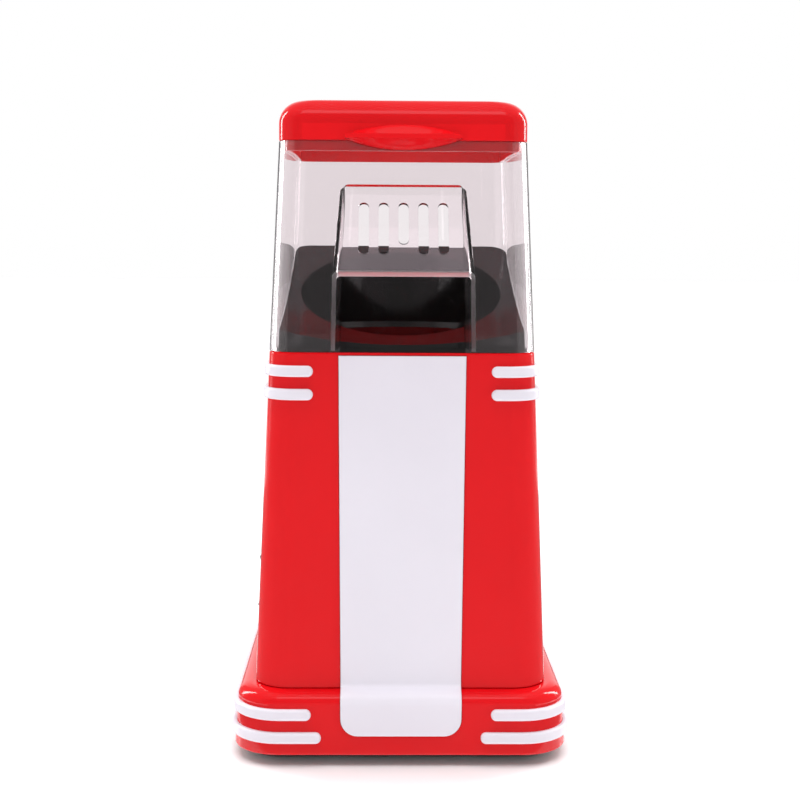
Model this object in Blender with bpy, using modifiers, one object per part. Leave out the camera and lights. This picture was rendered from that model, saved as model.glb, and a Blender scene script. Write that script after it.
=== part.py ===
"""Hot-air popcorn maker: red body on a wider plinth, clear cover with an outlet hood, measuring lid.

Sizes below are in millimetres and turned into metres by MM. The origin is on the table, in the
middle of the plinth. +Z is up, the outlet hood faces -Y and the mains switch is on the -X side.
"""
import math

import bmesh
import bpy
from mathutils import Matrix, Vector

MM = 0.001
GAP = 0.3                      # play between pieces that touch

# Outer shape: half sizes along X and Y, and the radius of the upright corners.
PLINTH_BOTTOM = 5.0
PLINTH_EDGE = 27.5             # where the upright side turns into the shoulder
PLINTH_TOP = 33.2
PLINTH_HALF_X = 77.0
PLINTH_HALF_Y = 80.2
PLINTH_DRAFT = 0.07
PLINTH_CORNER = 21.0
PLINTH_WALL = 2.6

BODY_BOTTOM = 33.5
BODY_TOP = 186.7
BODY_FOOT_X = 67.6
BODY_FOOT_Y = 70.5
BODY_HEAD_X = 61.0
BODY_HEAD_Y = 61.5
BODY_FOOT_CORNER = 16.0
BODY_HEAD_CORNER = 13.0
BODY_WALL = 2.6

COVER_BOTTOM = 187.0
COVER_TOP = 281.3
COVER_HEAD_X = 56.4
COVER_HEAD_Y = 57.0
COVER_HEAD_CORNER = 11.0
COVER_WALL = 2.4

HOOD_FRONT = -81.8
HOOD_BOTTOM = 189.4
HOOD_REAR_TOP = 261.0          # roof height where it meets the cover
HOOD_FRONT_TOP = 223.7
HOOD_HALF_REAR = 28.6
HOOD_HALF_FRONT = 31.1
HOOD_CORNER = 3.2
HOOD_WALL = 1.7
SLOT_WIDTH = 4.6
SLOT_PITCH = 8.8
SLOT_FROM = 8.4                # along the roof, from the cover
SLOT_TO = 34.9
SLOT_TO_MIDDLE = 29.8

LID_BOTTOM = 281.6
LID_TOP = 300.0
LID_ROUND = 11.0
LID_SKIRT_BOTTOM = 277.0
GRIP_HALF = 26.3
GRIP_FRONT = -63.2

DECK_HEIGHT = 212.2            # sloped deck of the tray, on the axis
DECK_SLOPE = 0.376
TRAY_BOTTOM = 176.3
TRAY_CLEAR = 0.5
TRAY_WALL = 2.2
NECK_UNDER = -0.4              # the neck stops inside the deck, so the bowl has no raised lip
BOWL_RADIUS = 49.0
BOWL_WALL = 1.5
DECK_FRONT_RADIUS = 116.0
DECK_FRONT_SHELF = 188.4

CHAMBER_RADIUS = 43.0
CHAMBER_WALL = 0.9
CHAMBER_TOP = 180.9
CHAMBER_BOTTOM = 110.0
LOUVRES = 12

SHROUD_RADIUS = 51.0
SHROUD_WALL = 1.0
SHROUD_BOTTOM = 98.0
COIL_RADIUS = 34.0
COIL_TURNS = 3.5
COIL_PITCH = 4.6
COIL_WIRE = 1.1
COIL_BOTTOM = 90.0

HOUSING_TOP = 97.7
HOUSING_BOTTOM = 66.0
HOUSING_RADIUS = 48.0
HOUSING_WALL = 2.0
INLET_RADIUS = 24.0
EAR = 43.0                     # where the four posts stand, on both axes
POST_RADIUS = 4.0

FAN_RADIUS = 40.0
FAN_BOTTOM = 70.0
FAN_HEIGHT = 14.0
BLADES = 9
SHAFT_RADIUS = 1.6
MOTOR_RADIUS = 17.5
MOTOR_BOTTOM = 24.0
MOTOR_TOP = 60.0

BASE_BOTTOM = 2.4
BASE_TOP = 8.0
BASE_HALF_X = 72.6
BASE_HALF_Y = 75.8
BASE_CORNER = 17.5
FOOT_HEIGHT = 3.0
FOOT_RADIUS = 7.0
FOOT_X = 58.0
FOOT_Y = 61.0
BOSS_X = 30.0
BOSS_Y = 68.5

STRIPE_PROUD = 2.0
STRIPE_HEIGHT = 5.1
STRIPE_ROWS = (                # lower edge, where the front ends stop along X
    (175.8, 40.4, "upper_a"),
    (165.3, 40.4, "upper_b"),
    (21.2, 40.8, "lower_a"),
    (10.7, 36.2, "lower_b"),
)

PANEL_TOP = 185.4
PANEL_BOTTOM = 14.0
PANEL_HALF_TOP = 28.9
PANEL_HALF_BOTTOM = 27.4
PANEL_CORNER = 7.8
PANEL_PROUD = 1.0
PANEL_THICK = 1.9

SWITCH_Y = -10.0
SWITCH_Z = 70.0
SWITCH_HALF_Y = 11.0
SWITCH_HALF_Z = 17.0

RING_STEPS = 5                 # facets on each rounded corner


# ---------------------------------------------------------------- scene and materials

for old in list(bpy.data.objects):
    bpy.data.objects.remove(old, do_unlink=True)

PARTS = bpy.data.collections.new("popcorn_maker")
CUTTERS = bpy.data.collections.new("cutters")
bpy.context.scene.collection.children.link(PARTS)
bpy.context.scene.collection.children.link(CUTTERS)


def linear(channel):
    """One sRGB channel, 0 to 1, as linear light."""
    if channel <= 0.04045:
        return channel / 12.92
    return ((channel + 0.055) / 1.055) ** 2.4


def material(name, colour, roughness, metallic=0.0, clear=0.0):
    """A Principled material; colour is an sRGB hex string."""
    made = bpy.data.materials.new(name)
    made.use_nodes = True
    shader = made.node_tree.nodes["Principled BSDF"]
    rgb = [linear(int(colour[i:i + 2], 16) / 255) for i in (0, 2, 4)]
    shader.inputs["Base Color"].default_value = (*rgb, 1.0)
    shader.inputs["Roughness"].default_value = roughness
    shader.inputs["Metallic"].default_value = metallic
    shader.inputs["Transmission Weight"].default_value = clear
    return made


RED = material("red_abs", "DC2628", 0.2)
WHITE = material("white_abs", "E8E6EC", 0.3)
BLACK = material("black_pp", "141414", 0.25)
CLEAR = material("clear_polycarbonate", "F2EEF0", 0.05, clear=1.0)
BLACK_COAT = material("black_coated_aluminium", "181818", 0.35, 0.3)
STEEL = material("zinc_plated_steel", "B8B8B4", 0.35, 1.0)
NICHROME = material("nichrome", "8A8078", 0.4, 1.0)
MICA = material("mica_board", "B7A98C", 0.7)
RUBBER = material("black_rubber", "1C1C1C", 0.8)
BAKELITE = material("dark_phenolic", "2A2421", 0.5)
BOARD = material("green_board", "2F5E3A", 0.55)


# ---------------------------------------------------------------- modelling helpers

def add_object(name, mesh, paint=None, home=PARTS):
    """Put a mesh in the scene as a named object."""
    made = bpy.data.objects.new(name, mesh)
    home.objects.link(made)
    if paint:
        mesh.materials.clear()
        mesh.materials.append(paint)
    if home is CUTTERS:
        made.hide_render = True
        made.display_type = "WIRE"
    return made


def from_bmesh(name, bm, paint=None, home=PARTS):
    """Turn a bmesh into an object, with its faces pointing out."""
    bmesh.ops.recalc_face_normals(bm, faces=bm.faces)
    mesh = bpy.data.meshes.new(name)
    bm.to_mesh(mesh)
    bm.free()
    mesh.shade_smooth()
    mesh.set_sharp_from_angle(angle=math.radians(35))
    return add_object(name, mesh, paint, home)


def box(name, low, high, paint=None, home=PARTS, bevel=0.0):
    """A box between two corners, in mm."""
    low = Vector(low)
    high = Vector(high)
    bm = bmesh.new()
    bmesh.ops.create_cube(bm, size=1.0)
    bmesh.ops.scale(bm, vec=(high - low) * MM, verts=bm.verts)
    bmesh.ops.translate(bm, vec=(high + low) * 0.5 * MM, verts=bm.verts)
    if bevel:
        bmesh.ops.bevel(bm, geom=bm.edges[:], offset=bevel * MM, segments=1, affect="EDGES")
    return from_bmesh(name, bm, paint, home)


def cylinder(name, radius, low, high, at=(0.0, 0.0), paint=None, home=PARTS, sides=32, top=None):
    """An upright cylinder or cone between two heights, in mm."""
    bm = bmesh.new()
    bmesh.ops.create_cone(
        bm, cap_ends=True, segments=sides, radius1=radius * MM,
        radius2=(radius if top is None else top) * MM, depth=(high - low) * MM,
    )
    middle = Vector((at[0], at[1], (low + high) * 0.5)) * MM
    bmesh.ops.translate(bm, vec=middle, verts=bm.verts)
    return from_bmesh(name, bm, paint, home)


def turned(name, profile, paint=None, home=PARTS, steps=40, closed=True):
    """Turn an (radius, height) profile around Z. It runs down its outer side."""
    mesh = bpy.data.meshes.new(name)
    points = [(r * MM, 0.0, z * MM) for r, z in profile]
    edges = [(i, i + 1) for i in range(len(points) - 1)]
    if closed:
        edges.append((len(points) - 1, 0))
    mesh.from_pydata(points, edges, [])
    made = add_object(name, mesh, paint, home)
    screw = made.modifiers.new("turn", "SCREW")
    screw.axis = "Z"
    screw.steps = steps
    screw.render_steps = steps
    screw.use_merge_vertices = True
    screw.merge_threshold = 0.00001
    screw.use_smooth_shade = True
    return made


def ring(half_x, half_y, corner, z, at_y=0.0):
    """A level rounded rectangle as a list of points, anticlockwise from above, in mm."""
    points = []
    for quarter, (sx, sy) in enumerate(((1, 1), (-1, 1), (-1, -1), (1, -1))):
        for step in range(RING_STEPS + 1):
            turn = math.radians(90 * (quarter + step / RING_STEPS))
            x = sx * (half_x - corner) + corner * math.cos(turn)
            y = sy * (half_y - corner) + corner * math.sin(turn)
            points.append(Vector((x, y + at_y, z)))
    return points


def loft(name, rings, paint=None, home=PARTS, hollow=False):
    """Skin a row of rings. A hollow loft joins its last ring to its first one."""
    bm = bmesh.new()
    rows = [[bm.verts.new(p * MM) for p in points] for points in rings]
    pairs = list(zip(rows, rows[1:]))
    if hollow:
        pairs.append((rows[-1], rows[0]))
    else:
        bm.faces.new(rows[0])
        bm.faces.new(rows[-1])
    for lower, upper in pairs:
        count = len(lower)
        for i in range(count):
            j = (i + 1) % count
            bm.faces.new((lower[i], lower[j], upper[j], upper[i]))
    return from_bmesh(name, bm, paint, home)


def outline(name, points, thickness, home=CUTTERS, paint=None, plane="XZ", at=0.0):
    """A flat outline given thickness, upright across Y (XZ) or across X (YZ)."""
    curve = bpy.data.curves.new(name, "CURVE")
    curve.dimensions = "2D"
    curve.fill_mode = "BOTH"
    curve.extrude = thickness * 0.5 * MM
    spline = curve.splines.new("POLY")
    spline.points.add(len(points) - 1)
    for spot, (a, b) in zip(spline.points, points):
        spot.co = (a * MM, b * MM, 0.0, 1.0)
    spline.use_cyclic_u = True
    guide = bpy.data.objects.new(name, curve)
    CUTTERS.objects.link(guide)
    if plane == "XZ":
        guide.matrix_world = (Matrix.Translation((0, at * MM, 0))
                              @ Matrix.Rotation(math.radians(90), 4, "X"))
    elif plane == "YZ":
        guide.matrix_world = (Matrix.Translation((at * MM, 0, 0))
                              @ Matrix.Rotation(math.radians(90), 4, "Z")
                              @ Matrix.Rotation(math.radians(90), 4, "X"))
    else:
        guide.matrix_world = Matrix.Translation((0, 0, at * MM))
    return solidify_curve(guide, paint, home)


def solidify_curve(guide, paint, home):
    """Swap a curve object for its mesh, with the caps welded on."""
    bpy.context.view_layer.update()
    graph = bpy.context.evaluated_depsgraph_get()
    mesh = bpy.data.meshes.new_from_object(guide.evaluated_get(graph))
    place = guide.matrix_world.copy()
    name = guide.name
    bpy.data.objects.remove(guide, do_unlink=True)
    bm = bmesh.new()
    bm.from_mesh(mesh)
    bmesh.ops.remove_doubles(bm, verts=bm.verts, dist=0.000002)
    bmesh.ops.transform(bm, matrix=place, verts=bm.verts)
    bpy.data.meshes.remove(mesh)
    return from_bmesh(name, bm, paint, home)


def combine(target, other, how):
    """Cut, join or intersect with another object, which becomes a guide."""
    step = target.modifiers.new(how.lower(), "BOOLEAN")
    step.operation = how
    step.object = other
    step.solver = "EXACT"
    if other.name not in CUTTERS.objects:
        for home in list(other.users_collection):
            home.objects.unlink(other)
        CUTTERS.objects.link(other)
    other.hide_render = True
    other.display_type = "WIRE"
    return target


def cut(target, *others):
    for other in others:
        combine(target, other, "DIFFERENCE")
    return target


def join(target, *others):
    for other in others:
        combine(target, other, "UNION")
    return target


def keep(target, *others):
    for other in others:
        combine(target, other, "INTERSECT")
    return target


def turn_to(made, axis, at):
    """Lay an object made along Z at the origin along another axis, and put it in place."""
    spin = Vector((0, 0, 1)).rotation_difference(Vector(axis)).to_matrix().to_4x4()
    made.data.transform(Matrix.Translation(Vector(at) * MM) @ spin)
    return made


def set_origin(made, spot):
    """Move an object's origin to a point in mm, with the shape left where it is."""
    place = Vector(spot) * MM
    made.data.transform(Matrix.Translation(-place))
    made.location = place
    return made


# ---------------------------------------------------------------- outer surfaces as rules

def between(z, z0, z1, a, b):
    return a + (b - a) * (z - z0) / (z1 - z0)


def body_ring(z, inset=0.0):
    """The body's outline at a height, drawn in by a distance."""
    hx = between(z, BODY_BOTTOM, BODY_TOP, BODY_FOOT_X, BODY_HEAD_X) - inset
    hy = between(z, BODY_BOTTOM, BODY_TOP, BODY_FOOT_Y, BODY_HEAD_Y) - inset
    corner = between(z, BODY_BOTTOM, BODY_TOP, BODY_FOOT_CORNER, BODY_HEAD_CORNER) - inset
    return ring(hx, hy, corner, z)


def cover_ring(z, inset=0.0, at=None):
    """The clear cover's outline at a height; at sets another height for the ring itself."""
    hx = between(z, COVER_BOTTOM, COVER_TOP, BODY_HEAD_X, COVER_HEAD_X) - inset
    hy = between(z, COVER_BOTTOM, COVER_TOP, BODY_HEAD_Y, COVER_HEAD_Y) - inset
    corner = between(z, COVER_BOTTOM, COVER_TOP, BODY_HEAD_CORNER, COVER_HEAD_CORNER) - inset
    return ring(hx, hy, corner, z if at is None else at)


def plinth_ring(z, inset=0.0):
    """The upright part of the plinth at a height."""
    less = PLINTH_DRAFT * (z - PLINTH_BOTTOM) + inset
    return ring(PLINTH_HALF_X - less, PLINTH_HALF_Y - less, PLINTH_CORNER - inset, z)


def shoulder(inset, steps=4):
    """Rings over the plinth's rounded shoulder, from its edge up to the ledge."""
    rise = PLINTH_TOP - PLINTH_EDGE
    edge = PLINTH_DRAFT * (PLINTH_EDGE - PLINTH_BOTTOM)
    run = 6.4
    rows = []
    for step in range(1, steps + 1):
        turn = math.radians(90 * step / steps)
        back = edge + (run - inset) * (1 - math.cos(turn)) + inset
        up = PLINTH_EDGE + (rise - inset) * math.sin(turn)
        corner = max(PLINTH_CORNER - 0.6 * back, 12.0)
        rows.append(ring(PLINTH_HALF_X - back, PLINTH_HALF_Y - back, corner, up))
    return rows


def half_space_under(name, height, slope, lift=0.0):
    """A large block whose top face is the sloped plane height + slope * y."""
    reach = 140.0
    corners = [
        (-reach, height + lift - slope * reach),
        (reach, height + lift + slope * reach),
        (reach, -60.0),
        (-reach, -60.0),
    ]
    return outline(name, corners, 2 * reach, plane="YZ")


# ---------------------------------------------------------------- plinth, body and trim

def make_plinth():
    wall = PLINTH_WALL
    rows = [plinth_ring(PLINTH_BOTTOM, 0.7), plinth_ring(PLINTH_BOTTOM + 0.7)]
    rows.append(plinth_ring(PLINTH_EDGE))
    rows += shoulder(0.0)
    inner_x = BODY_FOOT_X - BODY_WALL - 1.0
    inner_y = BODY_FOOT_Y - BODY_WALL - 1.0
    rows.append(ring(inner_x, inner_y, 12.0, PLINTH_TOP))
    rows.append(ring(inner_x, inner_y, 12.0, PLINTH_TOP - wall))
    rows += reversed(shoulder(wall))
    rows.append(plinth_ring(PLINTH_EDGE, wall))
    rows.append(plinth_ring(PLINTH_BOTTOM, wall))
    return loft("plinth", rows, RED, hollow=True)


def make_body():
    wall = BODY_WALL
    rows = [body_ring(BODY_BOTTOM), body_ring(BODY_TOP - 0.6), body_ring(BODY_TOP, 0.5)]
    rows.append(body_ring(BODY_TOP, wall))
    rows.append(body_ring(TRAY_BOTTOM - GAP, wall))
    rows.append(body_ring(TRAY_BOTTOM - GAP, wall + 3.0))
    rows.append(body_ring(TRAY_BOTTOM - 2.5, wall + 3.0))
    rows.append(body_ring(TRAY_BOTTOM - 6.0, wall))
    rows.append(body_ring(BODY_BOTTOM, wall))
    body = loft("body_shell", rows, RED, hollow=True)
    for i in range(7):
        x = 9.0 * (i - 3)
        slot = box("vent_cut_%d" % i, (x - 1.5, 50, 46), (x + 1.5, 90, 78), home=CUTTERS)
        cut(body, slot)
    return body


def front_line(z):
    """How far forward the body's front face is at a height."""
    return -between(z, BODY_BOTTOM, BODY_TOP, BODY_FOOT_Y, BODY_HEAD_Y)


def strip_profile(out, back):
    """Side view of the front panel: down the body, over the shoulder and down the plinth."""
    edge = PLINTH_DRAFT * (PLINTH_EDGE - PLINTH_BOTTOM)
    line = [(front_line(PANEL_TOP + 6), PANEL_TOP + 6), (front_line(PLINTH_TOP + 2.5), PLINTH_TOP + 2.5)]
    line.append((-(BODY_FOOT_Y + 1.4), PLINTH_TOP + 0.5))
    for step in (3, 2, 1, 0):
        turn = math.radians(90 * step / 4)
        inward = edge + 6.4 * (1 - math.cos(turn))
        line.append((-(PLINTH_HALF_Y - inward), PLINTH_EDGE + (PLINTH_TOP - PLINTH_EDGE) * math.sin(turn)))
    foot = PANEL_BOTTOM - 6
    line.append((-(PLINTH_HALF_Y - PLINTH_DRAFT * (foot - PLINTH_BOTTOM)), foot))
    return offset_line(line, out) + list(reversed(offset_line(line, -back)))


def offset_line(line, distance):
    """Shift an open line in the YZ plane towards the front (-Y, +Z) by a distance."""
    moved = []
    for i, here in enumerate(line):
        before = line[max(i - 1, 0)]
        after = line[min(i + 1, len(line) - 1)]
        normals = []
        for a, b in ((before, here), (here, after)):
            dy, dz = b[0] - a[0], b[1] - a[1]
            size = math.hypot(dy, dz)
            if size > 1e-9:
                normals.append((dz / size, -dy / size))
        ny = sum(n[0] for n in normals) / len(normals)
        nz = sum(n[1] for n in normals) / len(normals)
        scale = distance / (ny * ny + nz * nz)
        moved.append((here[0] + ny * scale, here[1] + nz * scale))
    return moved


def panel_face(grow):
    """Front view of the panel, its lower corners rounded."""
    top = PANEL_TOP + grow
    low = PANEL_BOTTOM - grow
    half_top = PANEL_HALF_TOP + grow
    half_low = PANEL_HALF_BOTTOM + grow
    corner = PANEL_CORNER + grow
    points = [(half_top, top), (-half_top, top)]
    for sign, start in ((-1, 180), (1, 270)):
        for step in range(7):
            turn = math.radians(start + 15 * step)
            points.append((sign * (half_low - corner) + corner * math.cos(turn),
                           low + corner + corner * math.sin(turn)))
    return points


def make_panel():
    strip = outline("front_panel", strip_profile(PANEL_PROUD, PANEL_THICK - PANEL_PROUD),
                    90, home=PARTS, paint=WHITE, plane="YZ")
    face = outline("panel_face", panel_face(0.0), 60, at=-70)
    return keep(strip, face)


def make_panel_pocket(name):
    """The same strip with clearance, which cuts the pocket for the panel."""
    strip = outline(name, strip_profile(3.0, PANEL_THICK - PANEL_PROUD + GAP), 90, plane="YZ")
    face = outline(name + "_face", panel_face(0.35), 60, at=-70)
    return keep(strip, face)


def make_stripes():
    for low, end, name in STRIPE_ROWS:
        outer = body_ring if low > 100 else plinth_ring
        high = low + STRIPE_HEIGHT
        rows = [outer(low, -GAP), outer(low, 0.9 - STRIPE_PROUD), outer(low + 1.1, -STRIPE_PROUD)]
        rows += [outer(high - 1.1, -STRIPE_PROUD), outer(high, 0.9 - STRIPE_PROUD), outer(high, -GAP)]
        for side, sign in (("left", -1), ("right", 1)):
            stripe = loft("stripe_%s_%s" % (name, side), rows, WHITE, hollow=True)
            middle = (low + high) * 0.5
            round_end = STRIPE_HEIGHT * 0.5 + 0.02
            points = [(sign * 100, middle + round_end)]
            for step in range(9):
                turn = math.radians(90 + 180 * step / 8)
                points.append((sign * (end + round_end - round_end * -math.cos(turn)),
                               middle + round_end * math.sin(turn)))
            points.append((sign * 100, middle - round_end))
            keep(stripe, outline("%s_reach" % stripe.name, points, 200))


# ---------------------------------------------------------------- clear cover and lid

def hood_section(y, drop, thin):
    """Front view of the hood at one depth: upright sides under a roof with rounded edges."""
    top = between(y, front_cover(), HOOD_FRONT, HOOD_REAR_TOP, HOOD_FRONT_TOP) - drop
    half = between(y, front_cover(), HOOD_FRONT, HOOD_HALF_REAR, HOOD_HALF_FRONT) - thin
    corner = HOOD_CORNER - thin * 0.8
    low = HOOD_BOTTOM - (20 if drop else 0)
    flare = 0.017 * (top - low)
    points = [Vector((half + flare, y, low))]
    for start, sign in ((0, 1), (90, -1)):
        for step in range(6):
            turn = math.radians(start + 18 * step)
            points.append(Vector((sign * (half - corner) + corner * math.cos(turn), y,
                                  top - corner + corner * math.sin(turn))))
    points.append(Vector((-half - flare, y, low)))
    return points


def front_cover():
    """The cover's front face at the height where the hood's roof leaves it."""
    return -between(HOOD_REAR_TOP, COVER_BOTTOM, COVER_TOP, BODY_HEAD_Y, COVER_HEAD_Y)


def make_cover():
    cover = loft("clear_cover", [cover_ring(COVER_BOTTOM), cover_ring(COVER_TOP)], CLEAR)
    hood = loft("hood_outer", [hood_section(-48, 0, 0), hood_section(HOOD_FRONT, 0, 0)], home=CUTTERS)
    join(cover, hood)
    inside = [cover_ring(COVER_BOTTOM - 10, COVER_WALL), cover_ring(COVER_TOP + 10, COVER_WALL)]
    cut(cover, loft("cover_inside", inside, home=CUTTERS))
    slope = (HOOD_REAR_TOP - HOOD_FRONT_TOP) / (front_cover() - HOOD_FRONT)
    drop = HOOD_WALL * math.hypot(1, slope)
    passage = [hood_section(-44, drop, HOOD_WALL), hood_section(HOOD_FRONT - 8, drop - 1.5, HOOD_WALL)]
    cut(cover, loft("hood_passage", passage, home=CUTTERS))
    pitch = math.atan(slope)
    down = Vector((0, -math.cos(pitch), -math.sin(pitch)))
    out = Vector((0, -math.sin(pitch), math.cos(pitch)))
    start = Vector((0, front_cover(), HOOD_REAR_TOP))
    for i in range(5):
        x = SLOT_PITCH * (i - 2)
        last = SLOT_TO_MIDDLE if i == 2 else SLOT_TO
        half = SLOT_WIDTH * 0.5
        points = []
        for centre, first in ((last - half, 0), (SLOT_FROM + half, 180)):
            for step in range(7):
                turn = math.radians(first + 30 * step)
                points.append((half * math.cos(turn), centre + half * math.sin(turn)))
        slot = outline("slot_cut_%d" % i, points, 16, plane="XY")
        place = Matrix((
            (1, 0, 0, x * MM),
            (0, down.y, out.y, start.y * MM),
            (0, down.z, out.z, start.z * MM),
            (0, 0, 0, 1),
        ))
        slot.data.transform(place)
        if place.determinant() < 0:
            slot.data.flip_normals()
        cut(cover, slot)
    return cover


def lid_ring(inset, z):
    return ring(COVER_HEAD_X - inset, COVER_HEAD_Y - inset, max(COVER_HEAD_CORNER - inset, 1.5), z)


def make_lid():
    rows = []
    for step in range(6):
        turn = math.radians(90 * (1 - step / 5))
        inset = LID_ROUND * (1 - math.cos(turn)) * 0.96
        corner = COVER_HEAD_CORNER - inset * 0.2
        rows.append(ring(COVER_HEAD_X - inset, COVER_HEAD_Y - inset, corner,
                         LID_TOP - LID_ROUND * (1 - math.sin(turn))))
    play = COVER_WALL + TRAY_CLEAR
    rows += [lid_ring(0.0, LID_BOTTOM), lid_ring(1.8, LID_BOTTOM), lid_ring(1.9, LID_TOP - 9)]
    rows += [lid_ring(play + 0.1, LID_TOP - 9), lid_ring(play, LID_SKIRT_BOTTOM)]
    rows += [lid_ring(play + 1.8, LID_SKIRT_BOTTOM), lid_ring(play + 2.2, LID_TOP - 4.5)]
    rows += [lid_ring(play + 6.0, LID_TOP - 2.4)]
    lid = loft("measuring_lid", rows, RED)
    join(lid, make_grip())
    return lid


def make_grip():
    """Finger grip: lens shaped against the lid, drawn out to a thin straight edge."""
    middle = 283.3
    rows = []
    for y, rise, fall, half in ((-55.6, 5.4, 6.2, GRIP_HALF), (-57.7, 5.1, 6.0, GRIP_HALF),
                                (-60.5, 3.0, 3.6, GRIP_HALF - 0.05), (GRIP_FRONT, 1.0, 1.0, GRIP_HALF - 0.2)):
        points = []
        for sign, height in ((1, rise), (-1, fall)):
            for step in range(11):
                part = -1 + 2 * step / 10
                x = half * part * -sign
                points.append(Vector((x, y, middle + sign * (1.0 + (height - 1.0) * (1 - part * part)))))
        rows.append(points)
    grip = loft("grip_shape", rows, home=CUTTERS)
    cut(grip, box("grip_clear", (-40, -57.75, 270), (40, -50, LID_BOTTOM + 0.2), home=CUTTERS))
    return grip


# ---------------------------------------------------------------- tray and chamber

def tray_outside(name, inset, lift, bottom, arc, shelf, home=CUTTERS, paint=None):
    """The tray's block: tapered sides under a sloped deck, its front edge drawn back in an arc."""
    clear = COVER_WALL + TRAY_CLEAR + inset
    rows = [cover_ring(COVER_BOTTOM, clear, bottom), cover_ring(COVER_BOTTOM, clear)]
    rows.append(cover_ring(250, clear))
    block = loft(name, rows, paint, home)
    keep(block, half_space_under(name + "_deck", DECK_HEIGHT, DECK_SLOPE, lift))
    front = box(name + "_front", (-90, -90, shelf), (90, -30, 260), home=CUTTERS)
    middle = DECK_FRONT_RADIUS - BODY_HEAD_Y + COVER_WALL + TRAY_CLEAR
    cut(front, cylinder(name + "_arc", arc, 150, 290, at=(0, middle), home=CUTTERS, sides=72))
    return cut(block, front)


def make_tray():
    tray = tray_outside("popcorn_tray", 0.0, 0.0, TRAY_BOTTOM, DECK_FRONT_RADIUS,
                        DECK_FRONT_SHELF, PARTS, BLACK)
    wall = TRAY_WALL
    lower = wall * math.hypot(1, DECK_SLOPE)
    neck = cylinder("neck_outer", BOWL_RADIUS + BOWL_WALL, 181.2, 250, home=CUTTERS, sides=40)
    keep(neck, half_space_under("neck_trim", DECK_HEIGHT, DECK_SLOPE, NECK_UNDER))
    hollow = tray_outside("tray_hollow", wall, -lower, TRAY_BOTTOM - 6, DECK_FRONT_RADIUS - wall,
                          DECK_FRONT_SHELF - wall)
    cut(tray, hollow)
    join(tray, neck)
    funnel = [(BOWL_RADIUS, 260), (BOWL_RADIUS, 194), (CHAMBER_RADIUS + 1.2, 184),
              (CHAMBER_RADIUS + 0.6, 150), (0.0, 150), (0.0, 260)]
    cut(tray, turned("funnel_cut", funnel[:-2] + funnel[-2:], home=CUTTERS, steps=40))
    return tray


def make_chamber():
    r, w, top, low = CHAMBER_RADIUS, CHAMBER_WALL, CHAMBER_TOP, CHAMBER_BOTTOM
    profile = [
        (r + 0.6, top), (SHROUD_RADIUS + 1.5, top), (SHROUD_RADIUS + 1.5, top - w), (r + w, top - w),
        (r + w, low + 9), (r - 3, low + 2), (r - 11, low), (0.0, low),
        (0.0, low + w), (r - 11, low + w), (r - 3.6, low + 2.8), (r, low + 9.4),
    ]
    chamber = turned("popping_chamber", profile, BLACK_COAT, closed=False, steps=36)
    chamber.data.edges.add(1)
    chamber.data.edges[-1].vertices = (len(profile) - 1, 0)
    for i in range(LOUVRES):
        slot = box("louvre_%02d" % i, (r - 4, -0.9, low + 14), (r + 4, 0.9, low + 28), home=CUTTERS)
        lean = Matrix.Rotation(math.radians(25), 4, Vector((1, 0, 0)))
        centre = Vector((r, 0, low + 21)) * MM
        slot.data.transform(Matrix.Translation(centre) @ lean @ Matrix.Translation(-centre))
        slot.data.transform(Matrix.Rotation(math.tau * i / LOUVRES, 4, "Z"))
        cut(chamber, slot)
    return chamber


# ---------------------------------------------------------------- heater, fan and motor

def make_heater():
    r, w, low = SHROUD_RADIUS, SHROUD_WALL, SHROUD_BOTTOM
    high = CHAMBER_TOP - CHAMBER_WALL - GAP
    turned("heater_shroud", [(r, high), (r, low + 1.2), (r + 2.5, low + 1.2), (r + 2.5, low),
                             (r - w, low), (r - w, high)], STEEL, steps=32)
    curve = bpy.data.curves.new("heater_coil", "CURVE")
    curve.dimensions = "3D"
    curve.bevel_depth = COIL_WIRE * MM
    curve.bevel_resolution = 2
    curve.use_fill_caps = True
    spline = curve.splines.new("POLY")
    count = int(COIL_TURNS * 18) + 1
    spline.points.add(count - 1)
    for i, spot in enumerate(spline.points):
        turn = math.tau * i / 18
        spot.co = (COIL_RADIUS * math.cos(turn) * MM, COIL_RADIUS * math.sin(turn) * MM,
                   (COIL_BOTTOM + COIL_PITCH * i / 18) * MM, 1.0)
    guide = bpy.data.objects.new("heater_coil", curve)
    CUTTERS.objects.link(guide)
    solidify_curve(guide, NICHROME, PARTS)
    reach = COIL_RADIUS - COIL_WIRE - 3 * GAP
    mica = box("mica_cross", (-reach, -0.5, 87.5), (reach, 0.5, 108), MICA)
    join(mica, box("mica_second", (-0.5, -reach, 87.5), (0.5, reach, 108), home=CUTTERS))
    thermostat = cylinder("thermostat", 6.5, 0, 4.5, paint=STEEL, sides=16)
    turn_to(thermostat, (0, 1, 0), (0, SHROUD_RADIUS + 0.5, 118))
    fuse = cylinder("thermal_fuse", 2.0, 0, 14, paint=STEEL, sides=12)
    turn_to(fuse, (0, 0, 1), (SHROUD_RADIUS + 2.5, 0, 112))


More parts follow.
